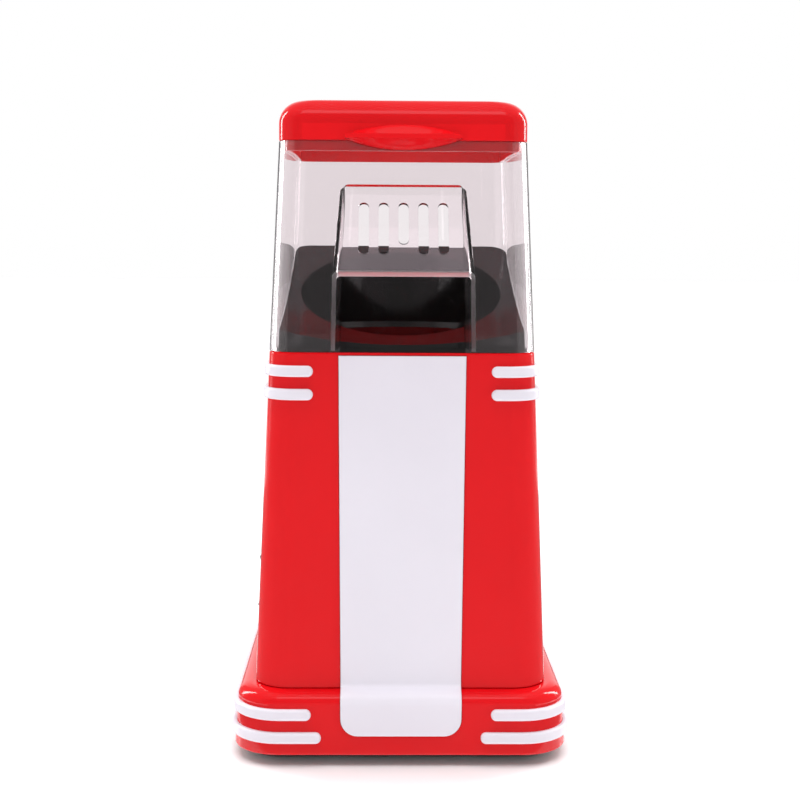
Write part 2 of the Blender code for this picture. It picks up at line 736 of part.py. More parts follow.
def make_housing():
    r, w, top, low = HOUSING_RADIUS, HOUSING_WALL, HOUSING_TOP, HOUSING_BOTTOM
    housing = turned("fan_housing", [(r + 5.5, top), (r + 5.5, top - 2), (r, top - 2), (r, low),
                                     (INLET_RADIUS, low), (INLET_RADIUS, low + 2), (r - w, low + 2),
                                     (r - w, top)], BAKELITE, steps=28)
    for i, (sx, sy) in enumerate(((1, 1), (-1, 1), (-1, -1), (1, -1))):
        ear = cylinder("ear_%d" % i, 5.5, top - 2, top, at=(sx * EAR, sy * EAR), home=CUTTERS, sides=12)
        bridge = box("ear_bridge_%d" % i, (-5, -10, top - 1.9), (5, 8, top - 0.1), home=CUTTERS)
        bridge.data.transform(Matrix.Translation(Vector((sx * 38, sy * 38, 0)) * MM)
                              @ Matrix.Rotation(math.radians(-45 * sx * sy), 4, "Z"))
        hole = cylinder("ear_hole_%d" % i, 1.9, top - 9, top + 3, at=(sx * EAR, sy * EAR),
                        home=CUTTERS, sides=8)
        join(housing, ear)
        join(housing, bridge)
        cut(housing, hole)
        screw = cylinder("housing_screw_%d" % (i + 1), 3.2, top + GAP, top + 2.4,
                         at=(sx * EAR, sy * EAR), paint=STEEL, sides=12)
        join(screw, cylinder("housing_shank_%d" % i, 1.4, top - 8, top + 1,
                             at=(sx * EAR, sy * EAR), home=CUTTERS, sides=8))


def make_fan():
    low = FAN_BOTTOM
    fan = turned("fan_impeller", [(0.0 + 1.9, low + 9), (4.5, low + 9), (5.0, low + 1.5),
                                  (FAN_RADIUS, low + 1.5), (FAN_RADIUS, low), (1.9, low)],
                 BAKELITE, steps=28)
    for i in range(BLADES):
        blade = box("blade_%d" % i, (12, -0.6, low + 0.7), (FAN_RADIUS - 1, 0.6, low + FAN_HEIGHT),
                    home=CUTTERS)
        lean = Matrix.Rotation(math.radians(-22), 4, "Z")
        inner = Matrix.Translation(Vector((12, 0, 0)) * MM)
        spin = Matrix.Rotation(math.tau * i / BLADES, 4, "Z")
        blade.data.transform(spin @ inner @ lean @ inner.inverted())
        join(fan, blade)
    shaft = cylinder("motor_shaft", SHAFT_RADIUS, 30, low + 12, paint=STEEL, sides=16)
    return fan, shaft


def make_motor():
    top = MOTOR_TOP
    motor = turned("motor_can", [(2.2, top), (7.0, top), (7.0, top - 2), (MOTOR_RADIUS, top - 2),
                                 (MOTOR_RADIUS, MOTOR_BOTTOM + 1), (MOTOR_RADIUS - 1, MOTOR_BOTTOM),
                                 (0.0, MOTOR_BOTTOM), (0.0, 28.0), (2.2, 28.0)],
                   STEEL, steps=24)
    plate = top - 2 + GAP
    bracket = turned("motor_bracket", [(38, plate + 2), (38, plate), (7.4, plate), (7.4, plate + 2)],
                     STEEL, steps=24)
    for i in range(3):
        turn = math.tau * i / 3
        wedge = outline("bracket_gap_%d" % i, [
            (radius * math.cos(turn + side), radius * math.sin(turn + side))
            for radius, side in ((19, -0.78), (24, -0.82), (30, -0.86), (33, -0.7), (34, -0.35), (34, 0),
                                 (34, 0.35), (33, 0.7), (30, 0.86), (24, 0.82), (19, 0.78),
                                 (17, 0.4), (16, 0), (17, -0.4))
        ], 12, plane="XY", at=plate + 1)
        cut(bracket, wedge)
        a = turn + math.pi / 3
        post = cylinder("bracket_post_%d" % i, 3.0, plate + 1, HOUSING_BOTTOM - GAP,
                        at=(34 * math.cos(a), 34 * math.sin(a)), home=CUTTERS, sides=10)
        join(bracket, post)
    board = box("rectifier_board", (24, -14, 14), (46, 14, 15.6), BOARD)
    for i, y in enumerate((-9.5, -4.5, 0.5, 5.5)):
        diode = box("diode_%d" % i, (28, y - 1.4, 15), (35, y + 1.4, 18.6), home=CUTTERS)
        join(board, diode)
    join(board, cylinder("capacitor", 3.4, 15, 24, at=(40.5, 8), home=CUTTERS, sides=16))
    return motor


# ---------------------------------------------------------------- base, feet and fittings

def make_base():
    hx, hy, c = BASE_HALF_X, BASE_HALF_Y, BASE_CORNER
    rows = [ring(hx - 2, hy - 2, c - 2, BASE_BOTTOM), ring(hx, hy, c, BASE_BOTTOM + 1.5),
            ring(hx, hy, c, BASE_TOP), ring(hx - 2.2, hy - 2.2, c - 2.2, BASE_TOP),
            ring(hx - 2.2, hy - 2.2, c - 2.2, BASE_BOTTOM + 2.2)]
    base = loft("base_plate", rows, BLACK)
    for i in range(7):
        y = 8.0 * (i - 3)
        half = 23.0 - 1.0 * (i - 3) ** 2
        cut(base, box("inlet_%d" % i, (-half, y - 1.7, -5), (half, y + 1.7, 7), home=CUTTERS))
    for i, (sx, sy) in enumerate(((1, 1), (-1, 1), (-1, -1), (1, -1))):
        spot = (sx * EAR, sy * EAR)
        post = cylinder("post_%d" % i, POST_RADIUS, BASE_BOTTOM + 1, HOUSING_TOP - 2 - GAP, at=spot,
                        home=CUTTERS, sides=12, top=POST_RADIUS - 0.8)
        join(base, post)
        cut(base, cylinder("post_bore_%d" % i, 1.7, HOUSING_TOP - 14, HOUSING_TOP, at=spot,
                           home=CUTTERS, sides=8))
    for i, y in enumerate((-11, 11)):
        join(base, cylinder("board_post_%d" % i, 2.5, BASE_BOTTOM + 1, 14 - GAP, at=(35, y),
                            home=CUTTERS, sides=8))
    return base


def make_feet():
    for i, (sx, sy) in enumerate(((1, 1), (-1, 1), (-1, -1), (1, -1))):
        x, y = sx * FOOT_X, sy * FOOT_Y
        pocket = cylinder("foot_pocket_%d" % i, FOOT_RADIUS + 0.4, -3, FOOT_HEIGHT + GAP, at=(x, y),
                          home=CUTTERS, sides=20)
        cut(bpy.data.objects["base_plate"], pocket)
        cylinder("rubber_foot_%d" % (i + 1), FOOT_RADIUS - 0.6, 0.0, FOOT_HEIGHT, at=(x, y),
                 paint=RUBBER, sides=20, top=FOOT_RADIUS)


def make_gland():
    """Inlet for the mains lead, low on the back of the plinth."""
    at = (0, PLINTH_HALF_Y - 1.7, 17.0)
    hole = cylinder("gland_hole", 5.2, -8, 8, home=CUTTERS, sides=24)
    turn_to(hole, (0, 1, 0), at)
    cut(bpy.data.objects["plinth"], hole)
    gland = turned("cord_gland", [(3.2, 3.3), (6.4, 3.3), (7.2, 2.6), (7.2, 1.7), (4.9, 1.7), (4.9, -3.4),
                                  (3.2, -3.4)], BLACK, steps=16)
    gland.rotation_euler = (math.radians(-90), 0, 0)
    gland.location = Vector((at[0], at[1], at[2])) * MM
    return gland


def side_line(z):
    """How far out the body's side face is at a height."""
    return between(z, BODY_BOTTOM, BODY_TOP, BODY_FOOT_X, BODY_HEAD_X)


def make_switch():
    """Rocker switch in a frame on the -X side, tilted with the body's draft."""
    lean = math.atan((BODY_FOOT_X - BODY_HEAD_X) / (BODY_TOP - BODY_BOTTOM))
    at = Vector((-side_line(SWITCH_Z), SWITCH_Y, SWITCH_Z))
    place = Matrix.Translation(at * MM) @ Matrix.Rotation(lean, 4, "Y") @ Matrix.Rotation(
        math.radians(180), 4, "Z")
    hy, hz = SWITCH_HALF_Y, SWITCH_HALF_Z
    hole = box("switch_hole", (-8, -hy + 1.6, -hz + 1.6), (8, hy - 1.6, hz - 1.6), home=CUTTERS)
    hole.data.transform(place)
    cut(bpy.data.objects["body_shell"], hole)
    frame = box("switch_frame", (GAP, -hy, -hz), (1.3, hy, hz), BLACK, bevel=0.4)
    join(frame, box("switch_can", (-10.5, -hy + 2, -hz + 2), (1.0, hy - 2, hz - 2), home=CUTTERS))
    cut(frame, box("switch_well", (-6, -hy + 3.2, -hz + 3.0), (6, hy - 3.2, hz - 3.0), home=CUTTERS))
    rocker = outline("switch_rocker", [
        (-2.0, -12.6), (2.0, -13.3), (3.2, -12.3), (1.9, -6.5), (1.5, 0.0), (1.9, 6.5), (3.2, 12.3),
        (2.0, 13.3), (-2.0, 12.6), (-5.0, 4.0), (-5.0, -4.0)], 2 * (hy - 3.7), home=PARTS, paint=BLACK,
        plane="XZ")
    for piece in (frame, rocker):
        piece.matrix_world = place
    for guide in ("switch_can", "switch_well"):
        bpy.data.objects[guide].matrix_world = place
    rocker.data.name = "switch_rocker"
    return frame, rocker


def make_base_screws():
    """Screws up through the base plate into bosses that hang from the plinth's ledge."""
    base = bpy.data.objects["base_plate"]
    plinth = bpy.data.objects["plinth"]
    for i, (sx, sy) in enumerate(((1, 1), (-1, 1), (-1, -1), (1, -1))):
        spot = (sx * BOSS_X, sy * BOSS_Y)
        join(plinth, cylinder("boss_%d" % i, 3.8, BASE_TOP + 0.5, PLINTH_TOP - 1.7, at=spot,
                              home=CUTTERS, sides=12))
        cut(plinth, cylinder("boss_bore_%d" % i, 1.7, 5, 24, at=spot, home=CUTTERS, sides=8))
        cut(base, cylinder("screw_seat_%d" % i, 4.2, -3, 3.7, at=spot, home=CUTTERS, sides=12))
        cut(base, cylinder("screw_hole_%d" % i, 1.9, 0, 7, at=spot, home=CUTTERS, sides=8))
        screw = cylinder("base_screw_%d" % (i + 1), 3.4, 1.9, 3.4, at=spot, paint=STEEL, sides=12)
        join(screw, cylinder("base_shank_%d" % i, 1.4, 3, 20, at=spot, home=CUTTERS, sides=8))


make_plinth()
make_body()
make_panel()
cut(bpy.data.objects["body_shell"], make_panel_pocket("body_pocket"))
cut(bpy.data.objects["plinth"], make_panel_pocket("plinth_pocket"))
make_stripes()
make_cover()
set_origin(bpy.data.objects["clear_cover"], (0, 0, COVER_BOTTOM))
make_lid()
make_tray()
make_chamber()
make_heater()
make_housing()
make_fan()
make_motor()
make_base()
make_feet()
make_gland()
make_switch()
make_base_screws()
bpy.context.view_layer.update()
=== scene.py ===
# %% [markdown]
# # A hot-air popcorn maker, piece by piece
# The machine has a tapered red body on a wider plinth, a white panel down its front, white bands
# around its sides, a clear cover with an outlet hood, and a red lid that doubles as a measure.
# The engineering model gives every piece its place. Here the visible pieces are made again with
# finer curves and soft edges, because light only looks right on edges that have a radius.

import math

import bmesh
import bpy
from mathutils import Matrix, Vector


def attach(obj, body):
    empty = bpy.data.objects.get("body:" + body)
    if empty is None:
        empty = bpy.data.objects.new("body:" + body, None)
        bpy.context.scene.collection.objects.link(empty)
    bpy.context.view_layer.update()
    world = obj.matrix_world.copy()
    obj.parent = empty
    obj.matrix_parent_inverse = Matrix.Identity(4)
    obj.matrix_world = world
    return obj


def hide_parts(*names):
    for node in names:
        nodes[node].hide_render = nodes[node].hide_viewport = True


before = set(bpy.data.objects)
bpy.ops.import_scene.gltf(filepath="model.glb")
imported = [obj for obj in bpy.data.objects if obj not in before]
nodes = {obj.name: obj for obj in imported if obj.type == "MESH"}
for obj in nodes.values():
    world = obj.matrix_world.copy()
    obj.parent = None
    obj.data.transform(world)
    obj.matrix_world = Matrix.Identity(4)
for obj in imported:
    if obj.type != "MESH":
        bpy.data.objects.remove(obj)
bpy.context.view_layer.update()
MM = 0.001

# %% [markdown]
# ## Camera
# A camera at table distance, a little above the middle of the machine and tipped down by seven
# degrees, shows the front with a hint of perspective. A position and three angles are enough: the
# view direction comes from yaw and pitch, and a small roll turns the picture about it.

# %% Camera
eye_at = (-0.0109, -0.6915, 0.2422)
yaw, pitch, roll = math.radians(0.9), math.radians(6.95), math.radians(0.35)
forward = Vector((math.sin(yaw) * math.cos(pitch), math.cos(yaw) * math.cos(pitch),
                  -math.sin(pitch)))
level = Vector((math.cos(yaw), -math.sin(yaw), 0.0))
upward = level.cross(forward)
side = level * math.cos(roll) + upward * math.sin(roll)
upright = upward * math.cos(roll) - level * math.sin(roll)
eye = bpy.data.objects.new("camera", bpy.data.cameras.new("camera"))
eye.data.lens = 63.0
eye.data.sensor_width = 36.0
turn = Matrix((side, upright, -forward)).transposed().to_4x4()
eye.matrix_world = Matrix.Translation(eye_at) @ turn
bpy.context.scene.collection.objects.link(eye)
bpy.context.scene.camera = eye
print("camera looks along", [round(v, 3) for v in forward])

# %% [markdown]
# ## Colour and nodes
# Colours are written as sRGB hex, the way a designer picks them, and one function turns them into
# the linear light that a renderer counts in. One more function adds a shader node with its settings
# and links, so that each material below reads as a short list of what feeds what.

# %% Colour and node helpers
def linear(hex_colour):
    """An sRGB hex colour as linear red, green, blue and a full alpha."""
    channels = [int(hex_colour[i:i + 2], 16) / 255 for i in (0, 2, 4)]
    return (*[c / 12.92 if c <= 0.04045 else ((c + 0.055) / 1.055) ** 2.4 for c in channels], 1.0)


def add(tree, kind, feeds=None, **settings):
    """One node with its settings; a feed is a plain value or another node's output."""
    made = tree.nodes.new(kind)
    for name, value in settings.items():
        setattr(made, name, value)
    for name, value in (feeds or {}).items():
        if isinstance(value, bpy.types.NodeSocket):
            tree.links.new(value, made.inputs[name])
        else:
            made.inputs[name].default_value = value
    return made


def per_mm(size):
    """The texture scale that makes one grain of a pattern as wide as size, in millimetres."""
    return 1000.0 / size


print("red in linear light", [round(v, 3) for v in linear("D8191F")[:3]])

# %% [markdown]
# ## Floor
# The machine stands on coated white paper: nearly white and slightly glossy, so that the machine has
# a faint contact shadow. The paper is a real sheet, a fifth of a millimetre below the feet.

# %% Floor
def sheet_mesh(name, size, z):
    """A level square of floor."""
    bm = bmesh.new()
    bmesh.ops.create_grid(bm, x_segments=1, y_segments=1, size=size)
    bmesh.ops.translate(bm, vec=(0, 0, z), verts=bm.verts)
    mesh = bpy.data.meshes.new(name)
    bm.to_mesh(mesh)
    bm.free()
    made = bpy.data.objects.new(name, mesh)
    bpy.context.scene.collection.objects.link(made)
    return made


floor = sheet_mesh("floor", 6.0, -0.0002)
paper = bpy.data.materials.new("coated_white_paper")
paper.use_nodes = True
tree = paper.node_tree
shader = tree.nodes["Principled BSDF"]
where = add(tree, "ShaderNodeTexCoord")
fibre = add(tree, "ShaderNodeTexNoise", {"Vector": where.outputs["Object"], "Scale": per_mm(3.0)})
lift = add(tree, "ShaderNodeBump", {"Height": fibre.outputs["Fac"], "Strength": 0.05, "Distance": 0.0001})
tree.links.new(lift.outputs["Normal"], shader.inputs["Normal"])
shader.inputs["Base Color"].default_value = linear("FBFBFB")
shader.inputs["Roughness"].default_value = 0.35
floor.data.materials.append(paper)
print("floor at z", round(floor.data.vertices[0].co.z * 1000, 2), "mm")

# %% [markdown]
# ## Surroundings and lamps
# A glossy product is lit by what it mirrors. The world is white around the horizon and grey
# overhead. Two tall soft boxes behind the sides draw a bright line down each edge, a box above the
# front gives the hood's roof its sheen, and a wide box in front and a broad sun fill the colours
# evenly. A tiny lamp over the tray lights the lid from below, where little other light arrives.

# %% Surroundings and lamps
view = bpy.context.scene.view_settings
view.view_transform = "Standard"
view.look = "None"
world = bpy.data.worlds.new("white_studio")
world.use_nodes = True
tree = world.node_tree
sky = add(tree, "ShaderNodeTexCoord").outputs["Generated"]
height = add(tree, "ShaderNodeSeparateXYZ", {"Vector": sky}).outputs["Z"]
dome = add(tree, "ShaderNodeValToRGB", {"Fac": height})
dome.color_ramp.elements[0].position, dome.color_ramp.elements[0].color = 0.30, (1.0, 1.0, 1.0, 1.0)
dome.color_ramp.elements[1].position, dome.color_ramp.elements[1].color = 0.60, (0.32, 0.30, 0.31, 1.0)
tree.links.new(dome.outputs["Color"], tree.nodes["Background"].inputs["Color"])
bpy.context.scene.world = world
bpy.context.scene.cycles.max_bounces = 24
bpy.context.scene.cycles.transmission_bounces = 24


def soft_box(name, width, height, power, at, aim):
    """A rectangular lamp that faces a point, in metres."""
    lamp = bpy.data.lights.new(name, "AREA")
    lamp.shape = "RECTANGLE"
    lamp.size, lamp.size_y, lamp.energy = width, height, power
    made = bpy.data.objects.new(name, lamp)
    made.matrix_world = (Matrix.Translation(at)
                         @ (Vector(aim) - Vector(at)).to_track_quat("-Z", "Y").to_matrix().to_4x4())
    made.visible_camera = False
    bpy.context.scene.collection.objects.link(made)
    return made


middle = (0.0, 0.0, 0.15)
soft_box("box_left", 0.14, 1.1, 5.2, (-0.85, 0.44, 0.42), middle)
soft_box("box_right", 0.14, 1.1, 5.2, (0.85, 0.44, 0.42), middle)
roof_box = soft_box("box_roof", 0.60, 0.36, 0.75, (0.0, -0.69, 1.26), (0.0, -0.07, 0.24))
roof_box.data.color = (1.0, 0.84, 0.92)
front_fill = soft_box("box_front", 1.6, 0.9, 6.2, (0.0, -1.10, 0.50), middle)
lid_fill = soft_box("box_lid", 0.07, 0.05, 0.034, (0.0, 0.0, 0.228), (0.0, 0.0, 0.30))
for lamp in (front_fill, lid_fill):
    lamp.visible_glossy = lamp.visible_transmission = False
overhead = bpy.data.objects.new("overhead", bpy.data.lights.new("overhead", "SUN"))
overhead.data.energy = 2.7
overhead.data.angle = math.radians(50)
overhead.visible_glossy = overhead.visible_transmission = False
overhead.location = (0.0, 0.0, 1.5)
bpy.context.scene.collection.objects.link(overhead)

# %% [markdown]
# ## Grey cards
# Gloss that mirrors only white looks flat and pale, so grey cards stand in front of the machine, at
# its sides and on the table around it. The camera never sees them. They show only in reflections,
# where they keep the red deep and the black dark. One lighter card works the other way round: it
# isn't mirrored, and shows to light that has come through the clear cover or been scattered.

# %% Grey cards
def grey_card(name, corners, level, through=False):
    """A card for reflections, or one for light that has come through the clear cover."""
    bm = bmesh.new()
    bm.faces.new([bm.verts.new(p) for p in corners])
    mesh = bpy.data.meshes.new(name)
    bm.to_mesh(mesh)
    bm.free()
    made = bpy.data.objects.new(name, mesh)
    bpy.context.scene.collection.objects.link(made)
    felt = bpy.data.materials.new(name)
    felt.use_nodes = True
    glow = felt.node_tree.nodes["Principled BSDF"]
    glow.inputs["Base Color"].default_value = (0.0, 0.0, 0.0, 1.0)
    glow.inputs["Specular IOR Level"].default_value = 0.0
    glow.inputs["Emission Color"].default_value = (1.0, 0.97, 0.98, 1.0)
    glow.inputs["Emission Strength"].default_value = level
    mesh.materials.append(felt)
    made.visible_camera = made.visible_shadow = False
    made.visible_glossy = not through
    made.visible_diffuse = made.visible_transmission = through
    return made


def facing(y, low, high, half):
    """Corners of a card across the view, in front of the machine."""
    return [(-half, y, low), (half, y, low), (half, y, high), (-half, y, high)]


def sideways(x, near, far, high):
    """Corners of a card that stands beside the machine."""
    return [(x, near, 0.0), (x, far, 0.0), (x, far, high), (x, near, high)]


card_y, card_half, card_top, seam = -0.80, 0.9, 1.2, 0.21
grey_card("upper_card", facing(card_y, seam, card_top, card_half), 0.14)
grey_card("lower_card", facing(card_y, 0.0, seam, card_half), 0.30)
grey_card("through_card", facing(-0.801, 0.0, card_top, card_half), 0.42, through=True)
grey_card("left_card", sideways(-card_half, card_y, 1.5, card_top), 0.25)
grey_card("right_card", sideways(card_half, card_y, 1.5, card_top), 0.25)
table_corners = [(-0.9, -0.8), (0.9, -0.8), (0.9, 0.6), (0.12, 0.6),
                 (0.12, -0.1), (-0.12, -0.1), (-0.12, 0.6), (-0.9, 0.6)]
table_card = grey_card("table_card", [(x, y, 0.001) for x, y in table_corners], 0.30)
print("the table card has", len(table_card.data.vertices), "corners")

# %% [markdown]
# ## Finishes
# Each finish starts from the real material and how its surface was made.
# Injection-moulded plastic copies a polished mould, so it is glossy with a very faint long wave in
# the reflections, called orange peel, and fine handling marks that only change the gloss.

# %% Moulded plastic
def moulded(name, colour, shade, rough, ior, wave, wave_depth, spread=0.04):
    """A moulded plastic: two close tones, gloss that varies a little, and the mould's faint wave."""
    made = bpy.data.materials.new(name)
    made.use_nodes = True
    tree = made.node_tree
    shader = tree.nodes["Principled BSDF"]
    where = add(tree, "ShaderNodeTexCoord").outputs["Object"]
    cloud = add(tree, "ShaderNodeTexNoise", {"Vector": where, "Scale": per_mm(60), "Detail": 3.0})
    tone = add(tree, "ShaderNodeValToRGB", {"Fac": cloud.outputs["Fac"]})
    tone.color_ramp.elements[0].position, tone.color_ramp.elements[0].color = 0.3, linear(shade)
    tone.color_ramp.elements[1].position, tone.color_ramp.elements[1].color = 0.7, linear(colour)
    tree.links.new(tone.outputs["Color"], shader.inputs["Base Color"])
    smudge = add(tree, "ShaderNodeTexNoise", {"Vector": where, "Scale": per_mm(14), "Detail": 6.0,
                                              "Roughness": 0.62, "Distortion": 0.4})
    gloss = add(tree, "ShaderNodeMapRange", {"Value": smudge.outputs["Fac"], "From Min": 0.35,
                                             "From Max": 0.7, "To Min": rough, "To Max": rough + spread})
    tree.links.new(gloss.outputs["Result"], shader.inputs["Roughness"])
    peel = add(tree, "ShaderNodeTexNoise", {"Vector": where, "Scale": per_mm(wave), "Detail": 2.0})
    bump = add(tree, "ShaderNodeBump", {"Height": peel.outputs["Fac"], "Strength": 0.5,
                                        "Distance": wave_depth * MM})
    tree.links.new(bump.outputs["Normal"], shader.inputs["Normal"])
    shader.inputs["IOR"].default_value = ior
    return made


red_abs = moulded("red_abs", "DF1018", "DB0E16", 0.10, 1.54, 7.0, 0.012)
white_abs = moulded("white_abs", "E8E5EE", "E5E2EB", 0.2, 1.54, 5.0, 0.008)
black_pp = moulded("black_polypropylene", "141414", "101010", 0.09, 1.49, 6.0, 0.012, 0.06)
satin_pp = moulded("satin_black_polypropylene", "1A1A1A", "151515", 0.34, 1.49, 1.2, 0.02, 0.1)
phenolic = moulded("dark_phenolic", "2C2622", "241F1C", 0.45, 1.6, 0.9, 0.02, 0.12)
print("moulded finishes:", [m.name for m in (red_abs, white_abs, black_pp, satin_pp, phenolic)])

# %% [markdown]
# Polycarbonate is clear but not colourless: in the thick it has a faint warm grey cast, and it bends
# light strongly (IOR 1.585). The wall is modelled with its real 2.4 mm thickness, so that the edges
# gather the red of the body below, as a real moulding does. A lamp's light would stop at glass, so
# rays towards a lamp pass straight through it and light the lid's skirt and the tray inside. The
# outlet's front rim is satin: a mask along the depth raises the roughness over its last millimetre.

# %% Clear polycarbonate
clear_pc = bpy.data.materials.new("clear_polycarbonate")
clear_pc.use_nodes = True
tree = clear_pc.node_tree
shader = tree.nodes["Principled BSDF"]
where = add(tree, "ShaderNodeTexCoord").outputs["Object"]
haze = add(tree, "ShaderNodeTexNoise", {"Vector": where, "Scale": per_mm(22), "Detail": 5.0})
gloss = add(tree, "ShaderNodeMapRange", {"Value": haze.outputs["Fac"], "From Min": 0.45, "From Max": 0.8,
                                         "To Min": 0.0, "To Max": 0.03})
depth = add(tree, "ShaderNodeSeparateXYZ", {"Vector": where}).outputs["Y"]
rim_y, clear_y = -0.0815, -0.0808
rim = add(tree, "ShaderNodeMapRange", {"Value": depth, "From Min": rim_y, "From Max": clear_y,
                                       "To Min": 0.35, "To Max": 0.0})
satin = add(tree, "ShaderNodeMath", {0: gloss.outputs["Result"], 1: rim.outputs["Result"]},
            operation="MAXIMUM")
tree.links.new(satin.outputs["Value"], shader.inputs["Roughness"])
flow = add(tree, "ShaderNodeTexNoise", {"Vector": where, "Scale": per_mm(30), "Detail": 1.0})
bump = add(tree, "ShaderNodeBump", {"Height": flow.outputs["Fac"], "Strength": 0.4, "Distance": 0.00003})
tree.links.new(bump.outputs["Normal"], shader.inputs["Normal"])
shader.inputs["Base Color"].default_value = linear("F6F0F2")
shader.inputs["Transmission Weight"].default_value = 1.0
shader.inputs["IOR"].default_value = 1.585
straight = add(tree, "ShaderNodeBsdfTransparent", {"Color": linear("F2ECEE")})
to_lamp = add(tree, "ShaderNodeLightPath").outputs["Is Shadow Ray"]
mixed = add(tree, "ShaderNodeMixShader", {"Fac": to_lamp})
tree.links.new(shader.outputs["BSDF"], mixed.inputs[1])
tree.links.new(straight.outputs["BSDF"], mixed.inputs[2])
tree.links.new(mixed.outputs["Shader"], tree.nodes["Material Output"].inputs["Surface"])
print("clear finish:", clear_pc.name)

# %% [markdown]
# The popping chamber is spun aluminium with a sprayed and baked non-stick coat, which leaves a fine
# grain. Rubber is matt with a cloudy bloom. Screws and the motor can are zinc plated: a blue-grey
# metal whose crystals give a patchy gloss. Nichrome wire turns brown-grey once it has glowed, mica
# board is flaky with a silky sheen, and the circuit board is green lacquer over woven glass.

# %% Metals, rubber, mica and board
def surface(name, colours, metallic, rough, grain, depth, kind="ShaderNodeTexNoise"):
    """A finish with grain: the pattern drives the colour, the gloss and the relief together."""
    made = bpy.data.materials.new(name)
    made.use_nodes = True
    tree = made.node_tree
    shader = tree.nodes["Principled BSDF"]
    where = add(tree, "ShaderNodeTexCoord").outputs["Object"]
    pattern = add(tree, kind, {"Vector": where, "Scale": per_mm(grain)})
    out = pattern.outputs["Fac"] if "Fac" in pattern.outputs else pattern.outputs["Distance"]
    tone = add(tree, "ShaderNodeValToRGB", {"Fac": out})
    for element, spot, colour in zip(tone.color_ramp.elements, (0.25, 0.75), colours):
        element.position, element.color = spot, linear(colour)
    tree.links.new(tone.outputs["Color"], shader.inputs["Base Color"])
    gloss = add(tree, "ShaderNodeMapRange", {"Value": out, "From Min": 0.2, "From Max": 0.8,
                                             "To Min": rough[0], "To Max": rough[1]})
    tree.links.new(gloss.outputs["Result"], shader.inputs["Roughness"])
    bump = add(tree, "ShaderNodeBump", {"Height": out, "Strength": 0.6, "Distance": depth * MM})
    tree.links.new(bump.outputs["Normal"], shader.inputs["Normal"])
    shader.inputs["Metallic"].default_value = metallic
    return made


coated = surface("non_stick_coated_aluminium", ("181818", "232323"), 0.0, (0.3, 0.42), 0.7, 0.02)
rubber = surface("black_rubber", ("1B1B1B", "242424"), 0.0, (0.7, 0.85), 2.0, 0.03)
zinc = surface("zinc_plated_steel", ("A9ABAC", "C3C5C6"), 1.0, (0.26, 0.42), 1.6, 0.01,
               "ShaderNodeTexVoronoi")
nichrome = surface("oxidised_nichrome", ("5F564E", "8C8074"), 1.0, (0.35, 0.55), 0.8, 0.01)
mica = surface("mica_board", ("A89A7C", "C4B797"), 0.0, (0.35, 0.6), 2.5, 0.04, "ShaderNodeTexVoronoi")
board = surface("green_lacquered_board", ("27532F", "316540"), 0.0, (0.25, 0.4), 0.5, 0.02)
print("grained finishes:", [m.name for m in (coated, rubber, zinc, nichrome, mica, board)])

# %% [markdown]
# ## Mesh helpers
# Nearly every housing here is a stack of level outlines with a skin between them, which is called a
# loft. Sizes are in millimetres, as on a drawing, and become metres when the mesh is made.

# %% Outlines and lofts
def between(z, z0, z1, a, b):
    return a + (b - a) * (z - z0) / (z1 - z0)


def ring(half_x, half_y, corner, z, steps=14):
    """A level rounded rectangle, anticlockwise from above."""
    points = []
    for quarter, (sx, sy) in enumerate(((1, 1), (-1, 1), (-1, -1), (1, -1))):
        for step in range(steps + 1):
            turn = math.radians(90 * (quarter + step / steps))
            points.append(Vector((sx * (half_x - corner) + corner * math.cos(turn),
                                  sy * (half_y - corner) + corner * math.sin(turn), z)))
    return points


def circle(radius, z, sides=72, at=(0.0, 0.0)):
    """A level circle as a list of points."""
    turns = [math.tau * i / sides for i in range(sides)]
    return [Vector((at[0] + radius * math.cos(t), at[1] + radius * math.sin(t), z)) for t in turns]


def piece_from(bm, name):
    """A bmesh as an object, its faces pointing out and its double points merged."""
    bmesh.ops.remove_doubles(bm, verts=bm.verts, dist=0.000002)
    bmesh.ops.recalc_face_normals(bm, faces=bm.faces)
    mesh = bpy.data.meshes.new(name)
    bm.to_mesh(mesh)
    bm.free()
    made = bpy.data.objects.new(name, mesh)
    bpy.context.scene.collection.objects.link(made)
    return made


def loft(name, rings, hollow=False):
    """Skin a stack of outlines; a hollow one joins its last outline to its first."""
    bm = bmesh.new()
    rows = [[bm.verts.new(p * MM) for p in points] for points in rings]
    pairs = list(zip(rows, rows[1:]))
    if hollow:
        pairs.append((rows[-1], rows[0]))
    else:
        bm.faces.new(rows[0])
        bm.faces.new(rows[-1])
    for low, high in pairs:
        for i in range(len(low)):
            j = (i + 1) % len(low)
            bm.faces.new((low[i], low[j], high[j], high[i]))
    return piece_from(bm, name)


PLANES = {"XZ": lambda a, b, c: (a, c, b), "YZ": lambda a, b, c: (c, a, b),
          "XY": lambda a, b, c: (a, b, c)}


def prism(name, points, plane, low, high):
    """A flat outline pushed along the axis that its plane leaves out."""
    return loft(name, [[Vector(PLANES[plane](a, b, c)) for a, b in points] for c in (low, high)])


print("a ring of the body has", len(ring(60, 60, 13, 0)), "points")

# %% [markdown]
# Cutting and joining uses Boolean modifiers, applied at once so that no guide shapes stay behind.
# A bevel then breaks each sharp edge: moulded edges always have a small radius, and that radius is
# what catches a thin line of light. Weighted normals keep the flat faces flat.

# %% Booleans and soft edges
def apply_all(piece):
    """Turn a piece's modifiers into plain mesh."""
    bpy.context.view_layer.update()
    graph = bpy.context.evaluated_depsgraph_get()
    mesh = bpy.data.meshes.new_from_object(piece.evaluated_get(graph))
    piece.modifiers.clear()
    old, piece.data = piece.data, mesh
    bpy.data.meshes.remove(old)
    mesh.name = piece.name


